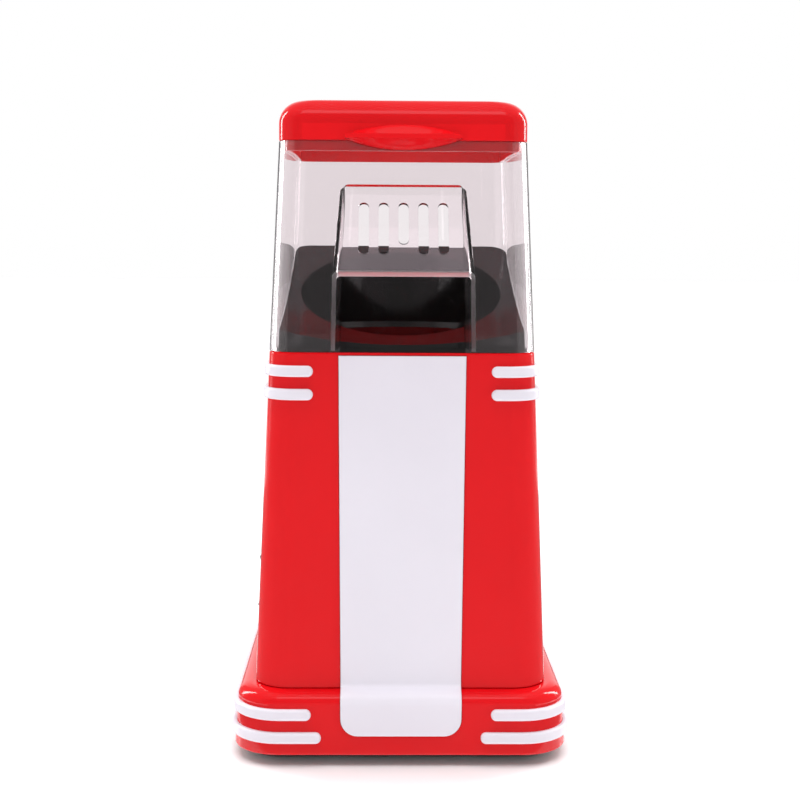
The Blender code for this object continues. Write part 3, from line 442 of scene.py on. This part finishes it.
def combine(piece, how, tools):
    """Cut with, join to or keep within each tool, and remove the tools."""
    for tool in tools:
        step = piece.modifiers.new(how, "BOOLEAN")
        step.operation, step.object, step.solver = how, tool, "EXACT"
    apply_all(piece)
    for tool in tools:
        bpy.data.objects.remove(tool, do_unlink=True)
    return piece


def cut(piece, *tools):
    return combine(piece, "DIFFERENCE", tools)


def join(piece, *tools):
    return combine(piece, "UNION", tools)


def keep(piece, *tools):
    return combine(piece, "INTERSECT", tools)


def soften(piece, radius=0.0, segments=3, angle=32.0, crease=12.0):
    """Round the sharp edges by a radius, in mm, and shade smoothly up to the crease angle."""
    if radius:
        step = piece.modifiers.new("edge_radius", "BEVEL")
        step.width, step.segments = radius * MM, segments
        step.limit_method, step.angle_limit = "ANGLE", math.radians(angle)
        step.use_clamp_overlap = True
        apply_all(piece)
    piece.data.shade_smooth()
    piece.data.set_sharp_from_angle(angle=math.radians(crease))
    step = piece.modifiers.new("flat_faces", "WEIGHTED_NORMAL")
    step.keep_sharp = True
    apply_all(piece)
    return piece


def ready(piece, body, slot, finish, *stands_for):
    """Give a finished piece its material and tell the frame what it rides on and replaces."""
    piece.data.materials.clear()
    piece.data.materials.append(finish)
    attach(piece, body)
    if stands_for:
        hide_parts(*stands_for)
    print(piece.name, "has", len(piece.data.polygons), "faces")
    return piece


print("soften() rounds edges, ready() hands a piece over")

# %% [markdown]
# ## Plinth
# The plinth is one moulding: nearly upright sides with a little draft so that it leaves its mould,
# a rounded shoulder, and a level ledge that the body stands on. The shoulder is a quarter ellipse,
# swept around by lowering the outline's size as the height rises.

# %% Outer surfaces as rules
WALL = 2.6
BODY_FOOT, BODY_TOP = 33.5, 186.7
BODY_X, BODY_Y, BODY_CORNER = (67.6, 61.0), (70.5, 61.5), (16.0, 13.0)
PLINTH_X, PLINTH_Y, PLINTH_CORNER = 77.0, 80.2, 21.0
PLINTH_FOOT, PLINTH_DRAFT = 5.0, 0.07
SHOULDER_Z, SHOULDER_RISE, SHOULDER_BACK = 27.5, 5.7, 6.4
SHOULDER_IN = 1.575


def body_at(z):
    """The body's half width, half depth and corner radius at a height."""
    return [between(z, BODY_FOOT, BODY_TOP, *pair) for pair in (BODY_X, BODY_Y, BODY_CORNER)]


def body_ring(z, inset=0.0):
    """The tapered body's outline at a height."""
    half_x, half_y, corner = body_at(z)
    return ring(half_x - inset, half_y - inset, corner - inset, z)


def plinth_at(z):
    """The plinth's half width, half depth and corner radius at a height."""
    less = PLINTH_DRAFT * (z - PLINTH_FOOT)
    return PLINTH_X - less, PLINTH_Y - less, PLINTH_CORNER


def plinth_ring(z, inset=0.0):
    """The plinth's outline below its shoulder."""
    less = PLINTH_DRAFT * (z - PLINTH_FOOT) + inset
    return ring(PLINTH_X - less, PLINTH_Y - less, PLINTH_CORNER - inset, z)


def shoulder(inset, steps=12):
    """Outlines over the rounded shoulder, from the side up to the ledge."""
    rows = []
    for step in range(1, steps + 1):
        turn = math.radians(90 * step / steps)
        back = SHOULDER_IN + (SHOULDER_BACK - inset) * (1 - math.cos(turn)) + inset
        rows.append(ring(PLINTH_X - back, PLINTH_Y - back, max(PLINTH_CORNER - 0.6 * back, 12.0),
                         SHOULDER_Z + (SHOULDER_RISE - inset) * math.sin(turn)))
    return rows


ledge_z = 33.2
rows = [plinth_ring(PLINTH_FOOT, 0.8), plinth_ring(5.3, 0.25), plinth_ring(5.9), plinth_ring(SHOULDER_Z)]
rows += shoulder(0.0)
rows += [ring(64.0, 66.9, 12.0, z) for z in (ledge_z, ledge_z - WALL)]
rows += reversed(shoulder(WALL))
rows += [plinth_ring(SHOULDER_Z, WALL), plinth_ring(PLINTH_FOOT, WALL)]
plinth = loft("plinth_moulding", rows, hollow=True)
print("plinth is", round(plinth.dimensions.x * 1000, 1), "mm wide")

# %% [markdown]
# ## Body
# The body narrows upwards. Its upper rim has a small radius, and a ledge inside carries the tray.
# The back has seven upright slots that let air in to the motor.

# %% Body shell
rim_z, rim_radius = 185.9, 0.8
rows = [body_ring(BODY_FOOT, 0.3), body_ring(33.8), body_ring(rim_z)]
for degrees in (30, 60, 90):
    turn = math.radians(degrees)
    rows.append(body_ring(rim_z + rim_radius * math.sin(turn), rim_radius * (1 - math.cos(turn))))
ledge = WALL + 3.0
rows += [body_ring(BODY_TOP, WALL), body_ring(176.0, WALL), body_ring(176.0, ledge)]
rows += [body_ring(173.8, ledge), body_ring(170.3, WALL), body_ring(BODY_FOOT, WALL)]
body = loft("body_moulding", rows, hollow=True)
vents = []
vent_pitch, vent_half, vent_radius, vent_z = 9.0, 14.5, 1.5, 62
for i in range(7):
    x = vent_pitch * (i - 3)
    arc = [(x + vent_radius * math.cos(math.radians(t)), vent_z + (vent_half if t < 180 else -vent_half)
            + vent_radius * math.sin(math.radians(t))) for t in range(0, 360, 20)]
    vents.append(prism("vent_%d" % i, arc, "XZ", 50, 90))
cut(body, *vents)
print("body is", round(body.dimensions.z * 1000, 1), "mm tall")

# %% [markdown]
# ## Front panel
# The white panel is one strip that runs down the body, bends over the plinth's shoulder and ends in
# two round corners. Its side view is a line of points; pushing that line out or in gives its face
# and its back. The same rows, a little larger, cut the pocket that the panel sits in, so the fine
# dark gap around it is a real gap.

# %% Panel side view
def offset_line(line, distance):
    """Push an open line in the YZ plane towards the front by a distance."""
    moved = []
    for i, here in enumerate(line):
        a, b = line[max(i - 1, 0)], line[min(i + 1, len(line) - 1)]
        dy, dz = b[0] - a[0], b[1] - a[1]
        size = math.hypot(dy, dz)
        moved.append((here[0] + distance * dz / size, here[1] - distance * dy / size))
    return moved


PANEL_TOP, PANEL_LOW, PANEL_CORNER, PANEL_HALF = 185.4, 14.0, 7.8, (28.9, 27.4)
front = [(-body_at(z)[1], z) for z in (195.0, 60.0, 44.0, 39.0, 37.0)]
front += [(-70.55, 35.6), (-71.15, 34.6), (-72.1, 33.85), (-73.2, 33.35)]
for step in (68, 60, 51, 42, 33, 24, 16, 8, 0):
    turn = math.radians(step)
    front.append((-(PLINTH_Y - SHOULDER_IN - SHOULDER_BACK * (1 - math.cos(turn))),
                  SHOULDER_Z + SHOULDER_RISE * math.sin(turn)))
front.append((-plinth_at(4.0)[1], 4.0))


def panel_rows(inset, out):
    """The panel's two long edges, from the top down, drawn in by inset and pushed out by out."""
    path = offset_line(front, out)
    top, low, corner = PANEL_TOP - inset, PANEL_LOW + inset, PANEL_CORNER - inset
    heights = [top] + [z for _, z in path[1:-1]]
    heights += [low + corner * (1 - math.sin(math.radians(t))) for t in range(0, 91, 9)]
    left, right = [], []
    for z in heights:
        k = next(i for i in range(len(path) - 1) if path[i + 1][1] <= z)
        y = between(z, path[k][1], path[k + 1][1], path[k][0], path[k + 1][0])
        half = between(z, PANEL_TOP, PANEL_LOW, *PANEL_HALF) - inset
        if z < low + corner:
            half += math.sqrt(max(corner ** 2 - (low + corner - z) ** 2, 0.0)) - corner
        left.append(Vector((-half, y, z)))
        right.append(Vector((half, y, z)))
    return left, right


print("panel bends at z", [round(z, 1) for _, z in front[5:9]])

# %% [markdown]
# A raised patch is built from levels: each level is a closed edge made of two matching rows, and the
# levels step out and in to make the rounded rim. The face is skinned straight across from row to row.

# %% Raised patches
def patch(name, levels):
    """Skin between levels, from the back to the face; each level is a pair of matching rows."""
    bm = bmesh.new()
    made = [([bm.verts.new(p * MM) for p in a], [bm.verts.new(p * MM) for p in b]) for a, b in levels]
    for (a0, b0), (a1, b1) in zip(made, made[1:]):
        low, high = a0 + b0[::-1], a1 + b1[::-1]
        for i in range(len(low)):
            j = (i + 1) % len(low)
            bm.faces.new((low[i], low[j], high[j], high[i]))
    for a, b in (made[0], made[-1]):
        for i in range(len(a) - 1):
            bm.faces.new((a[i], a[i + 1], b[i + 1], b[i]))
    return piece_from(bm, name)


def rounded_rim(base, proud, radius, steps=8):
    """The inset and height of each level, from a base up over a rounded rim."""
    turns = [math.radians(90 * i / steps) for i in range(steps + 1)]
    return [(0.0, base)] + [(radius * (1 - math.cos(t)), proud - radius * (1 - math.sin(t)))
                            for t in turns]


panel = patch("front_panel_strip", [panel_rows(i, o) for i, o in rounded_rim(-0.9, 1.0, 0.6)])
pocket = [panel_rows(-0.3, -1.2), panel_rows(-0.3, 3.0)]
cut(body, patch("body_pocket", pocket))
cut(plinth, patch("plinth_pocket", pocket))
ready(soften(panel), "base", "white_plastic", white_abs, "front_panel")

# %% [markdown]
# ## White bands
# Each side has two bands high up and two low down. A band starts on the front with a round end,
# goes around both corners and ends on the back. It is a patch too: stations along the outline say
# how far along each point lies and how tall the band is there.

# %% Bands
BAND_TALL = 5.1


def band_rows(outline_at, low, height, end, sign, inset, out):
    """Upper and lower edge of a band, drawn in by inset and standing out from the wall."""
    full, half = height / 2, height / 2 - inset
    turns = [math.radians(t) for t in range(0, 91, 9)]
    tips = [(end + full - half * math.cos(t), half * math.sin(t)) for t in turns]
    stations = [("x", -1, x, rise) for x, rise in tips]
    stations += [("corner", -1, t, half) for t in turns] + [("corner", 1, t, half) for t in turns[::-1]]
    stations += [("x", 1, x, rise) for x, rise in tips[::-1]]
    upper, lower = [], []
    for kind, face, spot, rise in stations:
        for row, z in ((upper, low + full + rise), (lower, low + full - rise)):
            half_x, half_y, corner = outline_at(z)
            x, y = spot, half_y + out
            if kind == "corner":
                x = half_x - corner + (corner + out) * math.sin(spot)
                y = half_y - corner + (corner + out) * math.cos(spot)
            row.append(Vector((sign * x, face * y, z)))
    return upper, lower


bands = (("upper_a", 175.8, 40.4, body_at), ("upper_b", 165.3, 40.4, body_at),
         ("lower_a", 21.2, 40.8, plinth_at), ("lower_b", 10.7, 36.2, plinth_at))
for name, low, end, outline_at in bands:
    for side_name, sign in (("left", -1), ("right", 1)):
        levels = [band_rows(outline_at, low, BAND_TALL, end, sign, inset, out)
                  for inset, out in rounded_rim(0.05, 2.0, 1.2)]
        band = patch("band_%s_%s" % (name, side_name), levels)
        ready(soften(band), "base", "white_plastic", white_abs, "stripe_%s_%s" % (name, side_name))

# %% [markdown]
# ## Switch
# The mains switch is a rocker in a snap-in frame, low on the side. It leans with the side wall. Both
# pieces are drawn upright at the origin and carried into place by one matrix, so that the rocker
# turns about the same line as its joint.

# %% Switch frame and rocker
SWITCH_Y, SWITCH_Z = -10.0, 70.0
lean = math.atan((BODY_X[0] - BODY_X[1]) / (BODY_TOP - BODY_FOOT))
switch_place = (Matrix.Translation(Vector((-body_at(SWITCH_Z)[0], SWITCH_Y, SWITCH_Z)) * MM)
                @ Matrix.Rotation(lean, 4, "Y") @ Matrix.Rotation(math.radians(180), 4, "Z"))


def rounded(half_a, half_b, radius, steps=5):
    """A flat rounded rectangle as number pairs."""
    return [(p.x, p.y) for p in ring(half_a, half_b, radius, 0.0, steps)]


hole = prism("switch_hole", rounded(9.4, 15.4, 1.0), "YZ", -8, 8)
hole.data.transform(switch_place)
cut(body, hole)
switch_frame = prism("switch_surround", rounded(11.0, 17.0, 1.8), "YZ", 0.3, 1.3)
join(switch_frame, prism("switch_can", rounded(9.0, 15.0, 0.8), "YZ", -10.5, 1.0))
cut(switch_frame, prism("switch_well", rounded(7.8, 14.0, 0.8), "YZ", -6.0, 6.0))
rocker_side = [(-2.0, -12.6), (2.0, -13.3), (3.2, -12.3), (2.4, -9.0), (1.85, -6.0), (1.6, -3.0),
               (1.5, 0.0), (1.6, 3.0), (1.85, 6.0), (2.4, 9.0), (3.2, 12.3), (2.0, 13.3), (-2.0, 12.6),
               (-5.0, 4.0), (-5.0, -4.0)]
rocker = prism("switch_button", rocker_side, "XZ", -7.3, 7.3)
for piece in (switch_frame, rocker):
    piece.data.transform(switch_place)
    soften(piece, 0.35, crease=40)
ready(switch_frame, "base", "black_plastic", satin_pp, "switch_frame")
ready(rocker, "rocker", "black_plastic", black_pp, "switch_rocker")
ready(soften(body), "base", "red_plastic", red_abs, "body_shell")

# %% [markdown]
# ## Base, feet and cord inlet
# A black base plate closes the plinth from below. It has inlet slots in the middle, because the fan
# draws its air from under the machine, four countersunk screws, and rubber feet in round pockets.
# Four posts stand on it and carry the fan housing.

# %% Base plate
def four(x, y):
    """One spot repeated in all four corners."""
    return [(x * sx, y * sy) for sx, sy in ((1, 1), (-1, 1), (-1, -1), (1, -1))]


def plate_ring(inset, z):
    """The base plate's outline, drawn in by inset."""
    return ring(72.6 - inset, 75.8 - inset, 17.5 - inset, z)


FEET, SCREWS, POSTS = four(58, 61), four(30, 68.5), four(43, 43)
base = loft("base_moulding", [plate_ring(2.0, 2.4), plate_ring(1.0, 2.65), plate_ring(0.3, 3.2),
                              plate_ring(0.0, 4.0), plate_ring(0.0, 8.0), plate_ring(2.2, 8.0),
                              plate_ring(2.2, 4.6)])
tools = []
for i in range(7):
    y, half = 8.0 * (i - 3), 23.0 - 1.0 * (i - 3) ** 2
    inlet = [(x, y + b) for x, b in rounded(half, 1.7, 1.69, 6)]
    tools.append(prism("inlet_%d" % i, inlet, "XY", -5, 7))
for foot_at, screw_at in zip(FEET, SCREWS):
    tools.append(loft("foot_pocket", [circle(7.4, z, 40, foot_at) for z in (-3, 3.3)]))
    tools.append(loft("screw_seat", [circle(4.2, z, 32, screw_at) for z in (-3, 3.7)]))
    tools.append(loft("screw_hole", [circle(1.9, z, 24, screw_at) for z in (0, 7)]))
cut(base, *tools)
posts = [loft("post", [circle(r, z, 32, at) for r, z in ((4.0, 3.4), (3.2, 95.4))]) for at in POSTS]
posts += [loft("board_post", [circle(2.5, z, 24, (35, y)) for z in (3.4, 13.7)]) for y in (-11, 11)]
join(base, *posts)
cut(base, *[loft("post_bore", [circle(1.7, z, 16, at) for z in (83.7, 97.7)]) for at in POSTS])
ready(soften(base, 0.25, 2), "base", "black_plastic", satin_pp, "base_plate")

# %% Rubber feet
groove = [(2.2, 0.0), (2.4, 0.35), (3.4, 0.35), (3.6, 0.0)]
profile = [(5.0, 0.0), (5.9, 0.12), (6.4, 0.5), (6.5, 1.2), (7.0, 2.6), (6.9, 3.0)]
for number, at in enumerate(FEET, 1):
    foot = loft("rubber_pad_%d" % number, [circle(r, z, 56, at) for r, z in groove + profile])
    ready(soften(foot), "base", "rubber", rubber, "rubber_foot_%d" % number)

# %% Base screws with a cross recess
head = [(2.2, 1.95), (3.0, 2.1), (3.4, 2.6), (3.4, 3.4), (1.4, 3.41), (1.4, 19.0), (0.5, 20.0)]
for number, (x, y) in enumerate(SCREWS, 1):
    screw = loft("base_fixing_%d" % number, [circle(r, z, 32, (x, y)) for r, z in head])
    arms = [prism("recess", [(x + a, y + b) for a, b in rounded(w, h, 0.2, 3)], "XY", 1.0, 2.9)
            for w, h in ((1.7, 0.42), (0.42, 1.7))]
    cut(screw, *arms)
    ready(soften(screw, 0.1, 2), "base", "zinc_steel", zinc, "base_screw_%d" % number)

# %% Cord inlet
profile = [(3.6, 3.3), (6.0, 3.3), (6.75, 3.1), (7.1, 2.75), (7.2, 2.3), (7.2, 1.7), (4.9, 1.7),
           (4.9, -3.4), (3.2, -3.4), (3.2, 2.9), (3.3, 3.15)]
gland = loft("cord_inlet_bush", [circle(r, z, 64) for r, z in profile], hollow=True)
gland_place = (Matrix.Translation(Vector((0, 78.5, 17.0)) * MM)
               @ Matrix.Rotation(math.radians(-90), 4, "X"))
gland.data.transform(gland_place)
hole = loft("gland_hole", [circle(5.2, z, 48) for z in (-8, 8)])
hole.data.transform(gland_place)
cut(plinth, hole)
join(plinth, *[loft("boss", [circle(3.8, z, 24, at) for z in (8.5, 31.5)]) for at in SCREWS])
cut(plinth, *[loft("boss_bore", [circle(1.7, z, 16, at) for z in (5, 24)]) for at in SCREWS])
ready(soften(plinth), "base", "red_plastic", red_abs, "plinth")
ready(soften(gland), "base", "black_plastic", satin_pp, "cord_gland")

# %% [markdown]
# ## Clear cover
# The cover is one clear moulding: a tapered box, open above and below, and an outlet hood whose roof
# slopes down to the front. Five slots in the roof let steam out. The solid box and hood are joined
# first, then the inside and the passage are cut out of both, which keeps one even wall.

# %% Cover and hood
PC_WALL, HOOD_WALL = 2.4, 1.7
COVER_FOOT, COVER_TOP = 187.0, 281.3
COVER_X, COVER_Y, COVER_CORNER = (61.0, 56.4), (61.5, 57.0), (13.0, 11.0)
HOOD_FRONT, HOOD_HIGH, HOOD_LOW = -81.8, 261.0, 223.7
HOOD_HALF, HOOD_CORNER = (28.6, 31.1), 3.2


def cover_ring(z, inset=0.0, at=None):
    """The cover's outline at a height; at puts it somewhere else."""
    half_x, half_y, corner = [between(z, COVER_FOOT, COVER_TOP, *pair)
                              for pair in (COVER_X, COVER_Y, COVER_CORNER)]
    return ring(half_x - inset, half_y - inset, corner - inset, z if at is None else at)


cover_front = -between(HOOD_HIGH, COVER_FOOT, COVER_TOP, *COVER_Y)
roof_slope = (HOOD_HIGH - HOOD_LOW) / (cover_front - HOOD_FRONT)


def hood_section(y, drop=0.0, thin=0.0, low=189.4):
    """Front view of the hood at one depth: upright sides under a roof with rounded edges."""
    top = between(y, cover_front, HOOD_FRONT, HOOD_HIGH, HOOD_LOW) - drop
    half = between(y, cover_front, HOOD_FRONT, *HOOD_HALF) - thin
    corner = HOOD_CORNER - thin * 0.8
    flare = 0.017 * (top - low)
    points = [Vector((half + flare, y, low))]
    for start, sign in ((0, 1), (90, -1)):
        for step in range(11):
            turn = math.radians(start + 9 * step)
            points.append(Vector((sign * (half - corner) + corner * math.cos(turn), y,
                                  top - corner + corner * math.sin(turn))))
    return points + [Vector((-half - flare, y, low))]


cover = loft("clear_cover_moulding", [cover_ring(COVER_FOOT), cover_ring(COVER_TOP)])
join(cover, loft("hood_outside", [hood_section(-48), hood_section(HOOD_FRONT)]))
cut(cover, loft("cover_inside", [cover_ring(177, PC_WALL), cover_ring(291.3, PC_WALL)]))
drop = HOOD_WALL * math.hypot(1, roof_slope)
passage_low = 169.4
cut(cover, loft("hood_passage", [hood_section(-44, drop, HOOD_WALL, passage_low),
                                 hood_section(-89.8, drop - 1.5, HOOD_WALL, passage_low)]))
print("hood roof slopes", round(math.degrees(math.atan(roof_slope))), "degrees")

# %% Steam slots
tilt = math.atan(roof_slope)
roof = Matrix(((1, 0, 0, 0), (0, -math.cos(tilt), -math.sin(tilt), cover_front * MM),
               (0, -math.sin(tilt), math.cos(tilt), HOOD_HIGH * MM), (0, 0, 0, 1)))
slot_pitch, slot_radius = 8.8, 2.3
slots = []
for i in range(5):
    first, last = 8.4 + slot_radius, (29.8 if i == 2 else 34.9) - slot_radius
    outline = [(slot_pitch * (i - 2) + slot_radius * math.cos(math.radians(t)),
                (last if t <= 180 else first) + slot_radius * math.sin(math.radians(t)))
               for t in [*range(0, 181, 15), *range(180, 361, 15)]]
    slot = prism("steam_slot_%d" % i, outline, "XY", -8, 8)
    slot.data.transform(roof)
    bm = bmesh.new()
    bm.from_mesh(slot.data)
    bmesh.ops.recalc_face_normals(bm, faces=bm.faces)
    bm.to_mesh(slot.data)
    bm.free()
    slots.append(slot)
cut(cover, *slots)
ready(soften(cover, 0.3, 3), "cover", "clear_plastic", clear_pc, "clear_cover")

# %% [markdown]
# ## Lid
# The lid closes the cover, and turned over it measures the kernels. It is double walled: a skirt
# reaches down inside the cover and keeps it centred. Its upper edge has a large soft radius, and a
# lens-shaped grip stands out at the front.

# %% Measuring lid
LID_X, LID_Y, LID_CORNER, LID_TOP, LID_ROUND = 56.4, 57.0, 11.0, 300.0, 11.0


def lid_ring(inset, z):
    """The lid's outline, drawn in by inset."""
    return ring(LID_X - inset, LID_Y - inset, max(LID_CORNER - inset, 1.5), z)


rows = []
for step in range(16):
    turn = math.radians(90 * (1 - step / 15))
    inset = LID_ROUND * (1 - math.cos(turn)) * 0.96
    rows.append(ring(LID_X - inset, LID_Y - inset, LID_CORNER - inset * 0.2,
                     LID_TOP - LID_ROUND * (1 - math.sin(turn))))
rows += [lid_ring(0.0, 282.0), lid_ring(0.12, 281.72), lid_ring(0.4, 281.6)]
rows += [lid_ring(1.8, 281.6), lid_ring(1.9, 291.0), lid_ring(3.0, 291.0), lid_ring(2.9, 277.3)]
rows += [lid_ring(3.2, 277.0), lid_ring(4.4, 277.0), lid_ring(4.7, 277.3), lid_ring(5.1, 295.5)]
rows += [lid_ring(6.2, 297.2), lid_ring(8.9, 297.6)]
lid = loft("measuring_lid_moulding", rows)
print("lid is", round(lid.dimensions.x * 1000, 1), "mm wide")

# %% Finger grip
grip_z = 283.3
grip_levels = ((-55.6, 5.4, 6.2, 26.3), (-57.7, 5.1, 6.0, 26.3), (-59.3, 4.0, 4.75, 26.28),
               (-60.5, 3.0, 3.6, 26.25), (-61.7, 2.05, 2.35, 26.2), (-62.7, 1.35, 1.45, 26.15),
               (-63.2, 1.0, 1.0, 26.1))
rows = []
for y, rise, fall, half in grip_levels:
    points = []
    for sign, height in ((1, rise), (-1, fall)):
        for step in range(33):
            part = -1 + 2 * step / 32
            points.append(Vector((-half * part * sign, y,
                                  grip_z + sign * (1.0 + (height - 1.0) * (1 - part * part)))))
    rows.append(points)
grip = loft("finger_grip", rows)
clear_of_cover = [(-40, 270), (40, 270), (40, 281.8), (-40, 281.8)]
cut(grip, prism("grip_clear", clear_of_cover, "XZ", -57.75, -50))
soften(grip, 0.28, 2, 36)
join(lid, grip)
ready(soften(lid), "lid", "red_plastic", red_abs, "measuring_lid")

# %% [markdown]
# ## Tray
# Inside the cover a glossy black tray slopes down to the outlet, so that popcorn slides forward. Its
# deck is cut by a sloping plane, its front edge is drawn back in an arc, and a round bowl in it
# narrows down to the popping chamber.

# %% Tray
TRAY_WALL, DECK_Z, DECK_SLOPE, FAR = 2.2, 212.2, 0.376, 140


def under_plane(name, lift):
    """Everything below the sloping deck, raised by lift."""
    front_z, back_z = DECK_Z + lift - DECK_SLOPE * FAR, DECK_Z + lift + DECK_SLOPE * FAR
    return prism(name, [(-FAR, front_z), (FAR, back_z), (FAR, -60), (-FAR, -60)], "YZ", -FAR, FAR)


def tray_block(name, inset, lift, bottom, arc, shelf):
    """Tapered sides under the sloped deck, with the front edge cut back in an arc."""
    clear = PC_WALL + 0.5 + inset
    block = loft(name, [cover_ring(COVER_FOOT, clear, bottom), cover_ring(COVER_FOOT, clear),
                        cover_ring(250, clear)])
    keep(block, under_plane("deck", lift))
    corner = prism("front", [(-90, -90), (90, -90), (90, -30), (-90, -30)], "XY", shelf, 260)
    cut(corner, loft("arc", [circle(arc, z, 160, (0, 57.4)) for z in (150, 290)]))
    return cut(block, corner)


tray = tray_block("sloped_tray", 0.0, 0.0, 176.3, 116.0, 188.4)
deck_drop = TRAY_WALL * math.hypot(1, DECK_SLOPE)
cut(tray, tray_block("tray_hollow", TRAY_WALL, -deck_drop, 170.3, 113.8, 186.2))
neck = loft("neck", [circle(50.5, z, 128) for z in (181.2, 250)])
join(tray, keep(neck, under_plane("neck_trim", -0.4)))
bowl = ((43.6, 150), (44.2, 184), (45.6, 187), (48.2, 191), (49.0, 194), (49.0, 260))
cut(tray, loft("funnel", [circle(r, z, 128) for r, z in bowl]))
ready(soften(tray, 0.5, 3), "base", "black_plastic", black_pp, "popcorn_tray")

# %% [markdown]
# ## Popping chamber
# The kernels lie in a spun aluminium cup. Hot air blows in through slanted louvres near its floor,
# which sets the kernels turning. The cup is a stack of circles, and the louvres are twelve leaning
# blades cut around its wall.

# %% Popping chamber
inside = [(6, 110.9), (32, 110.9), (36.2, 111.5), (39.4, 112.8), (41.6, 115.8), (43, 119.4), (43.5, 180.2)]
flange = [(43.7, 180.65), (44.1, 180.9), (52.3, 180.9), (52.5, 180.7), (52.5, 180.0), (44.2, 180.0)]
outside = [(43.9, 179.6), (43.9, 119), (42.4, 114.9), (40, 112), (36.5, 110.6), (32, 110), (6, 110)]
chamber = loft("spun_popping_cup", [circle(r, z, 96) for r, z in inside + flange + outside])
louvres = []
for i in range(12):
    blade = prism("louvre", rounded(4.0, 0.9, 0.85), "XY", -7, 7)
    turn = Matrix.Rotation(math.tau * i / 12, 4, "Z")
    place = Matrix.Translation((43 * MM, 0, 131 * MM)) @ Matrix.Rotation(math.radians(25), 4, "X")
    blade.data.transform(turn @ place)
    louvres.append(blade)
cut(chamber, *louvres)
ready(soften(chamber), "base", "coated_aluminium", coated, "popping_chamber")

# %% [markdown]
# ## Inner pieces
# The fan, motor, heater and shroud keep their engineering shape, since they only show when the
# machine is taken apart. They get their finish through their own material slots.

# %% Finishes for the inner pieces
inner_finish = {
    "fan_housing": phenolic, "fan_impeller": phenolic, "heater_coil": nichrome, "mica_cross": mica,
    "rectifier_board": board,
}
for name, node in nodes.items():
    if node.hide_render:
        continue
    finish = inner_finish.get(name, zinc)
    node.data.materials.clear()
    node.data.materials.append(finish)
print("refinished", [n for n, o in nodes.items() if not o.hide_render])
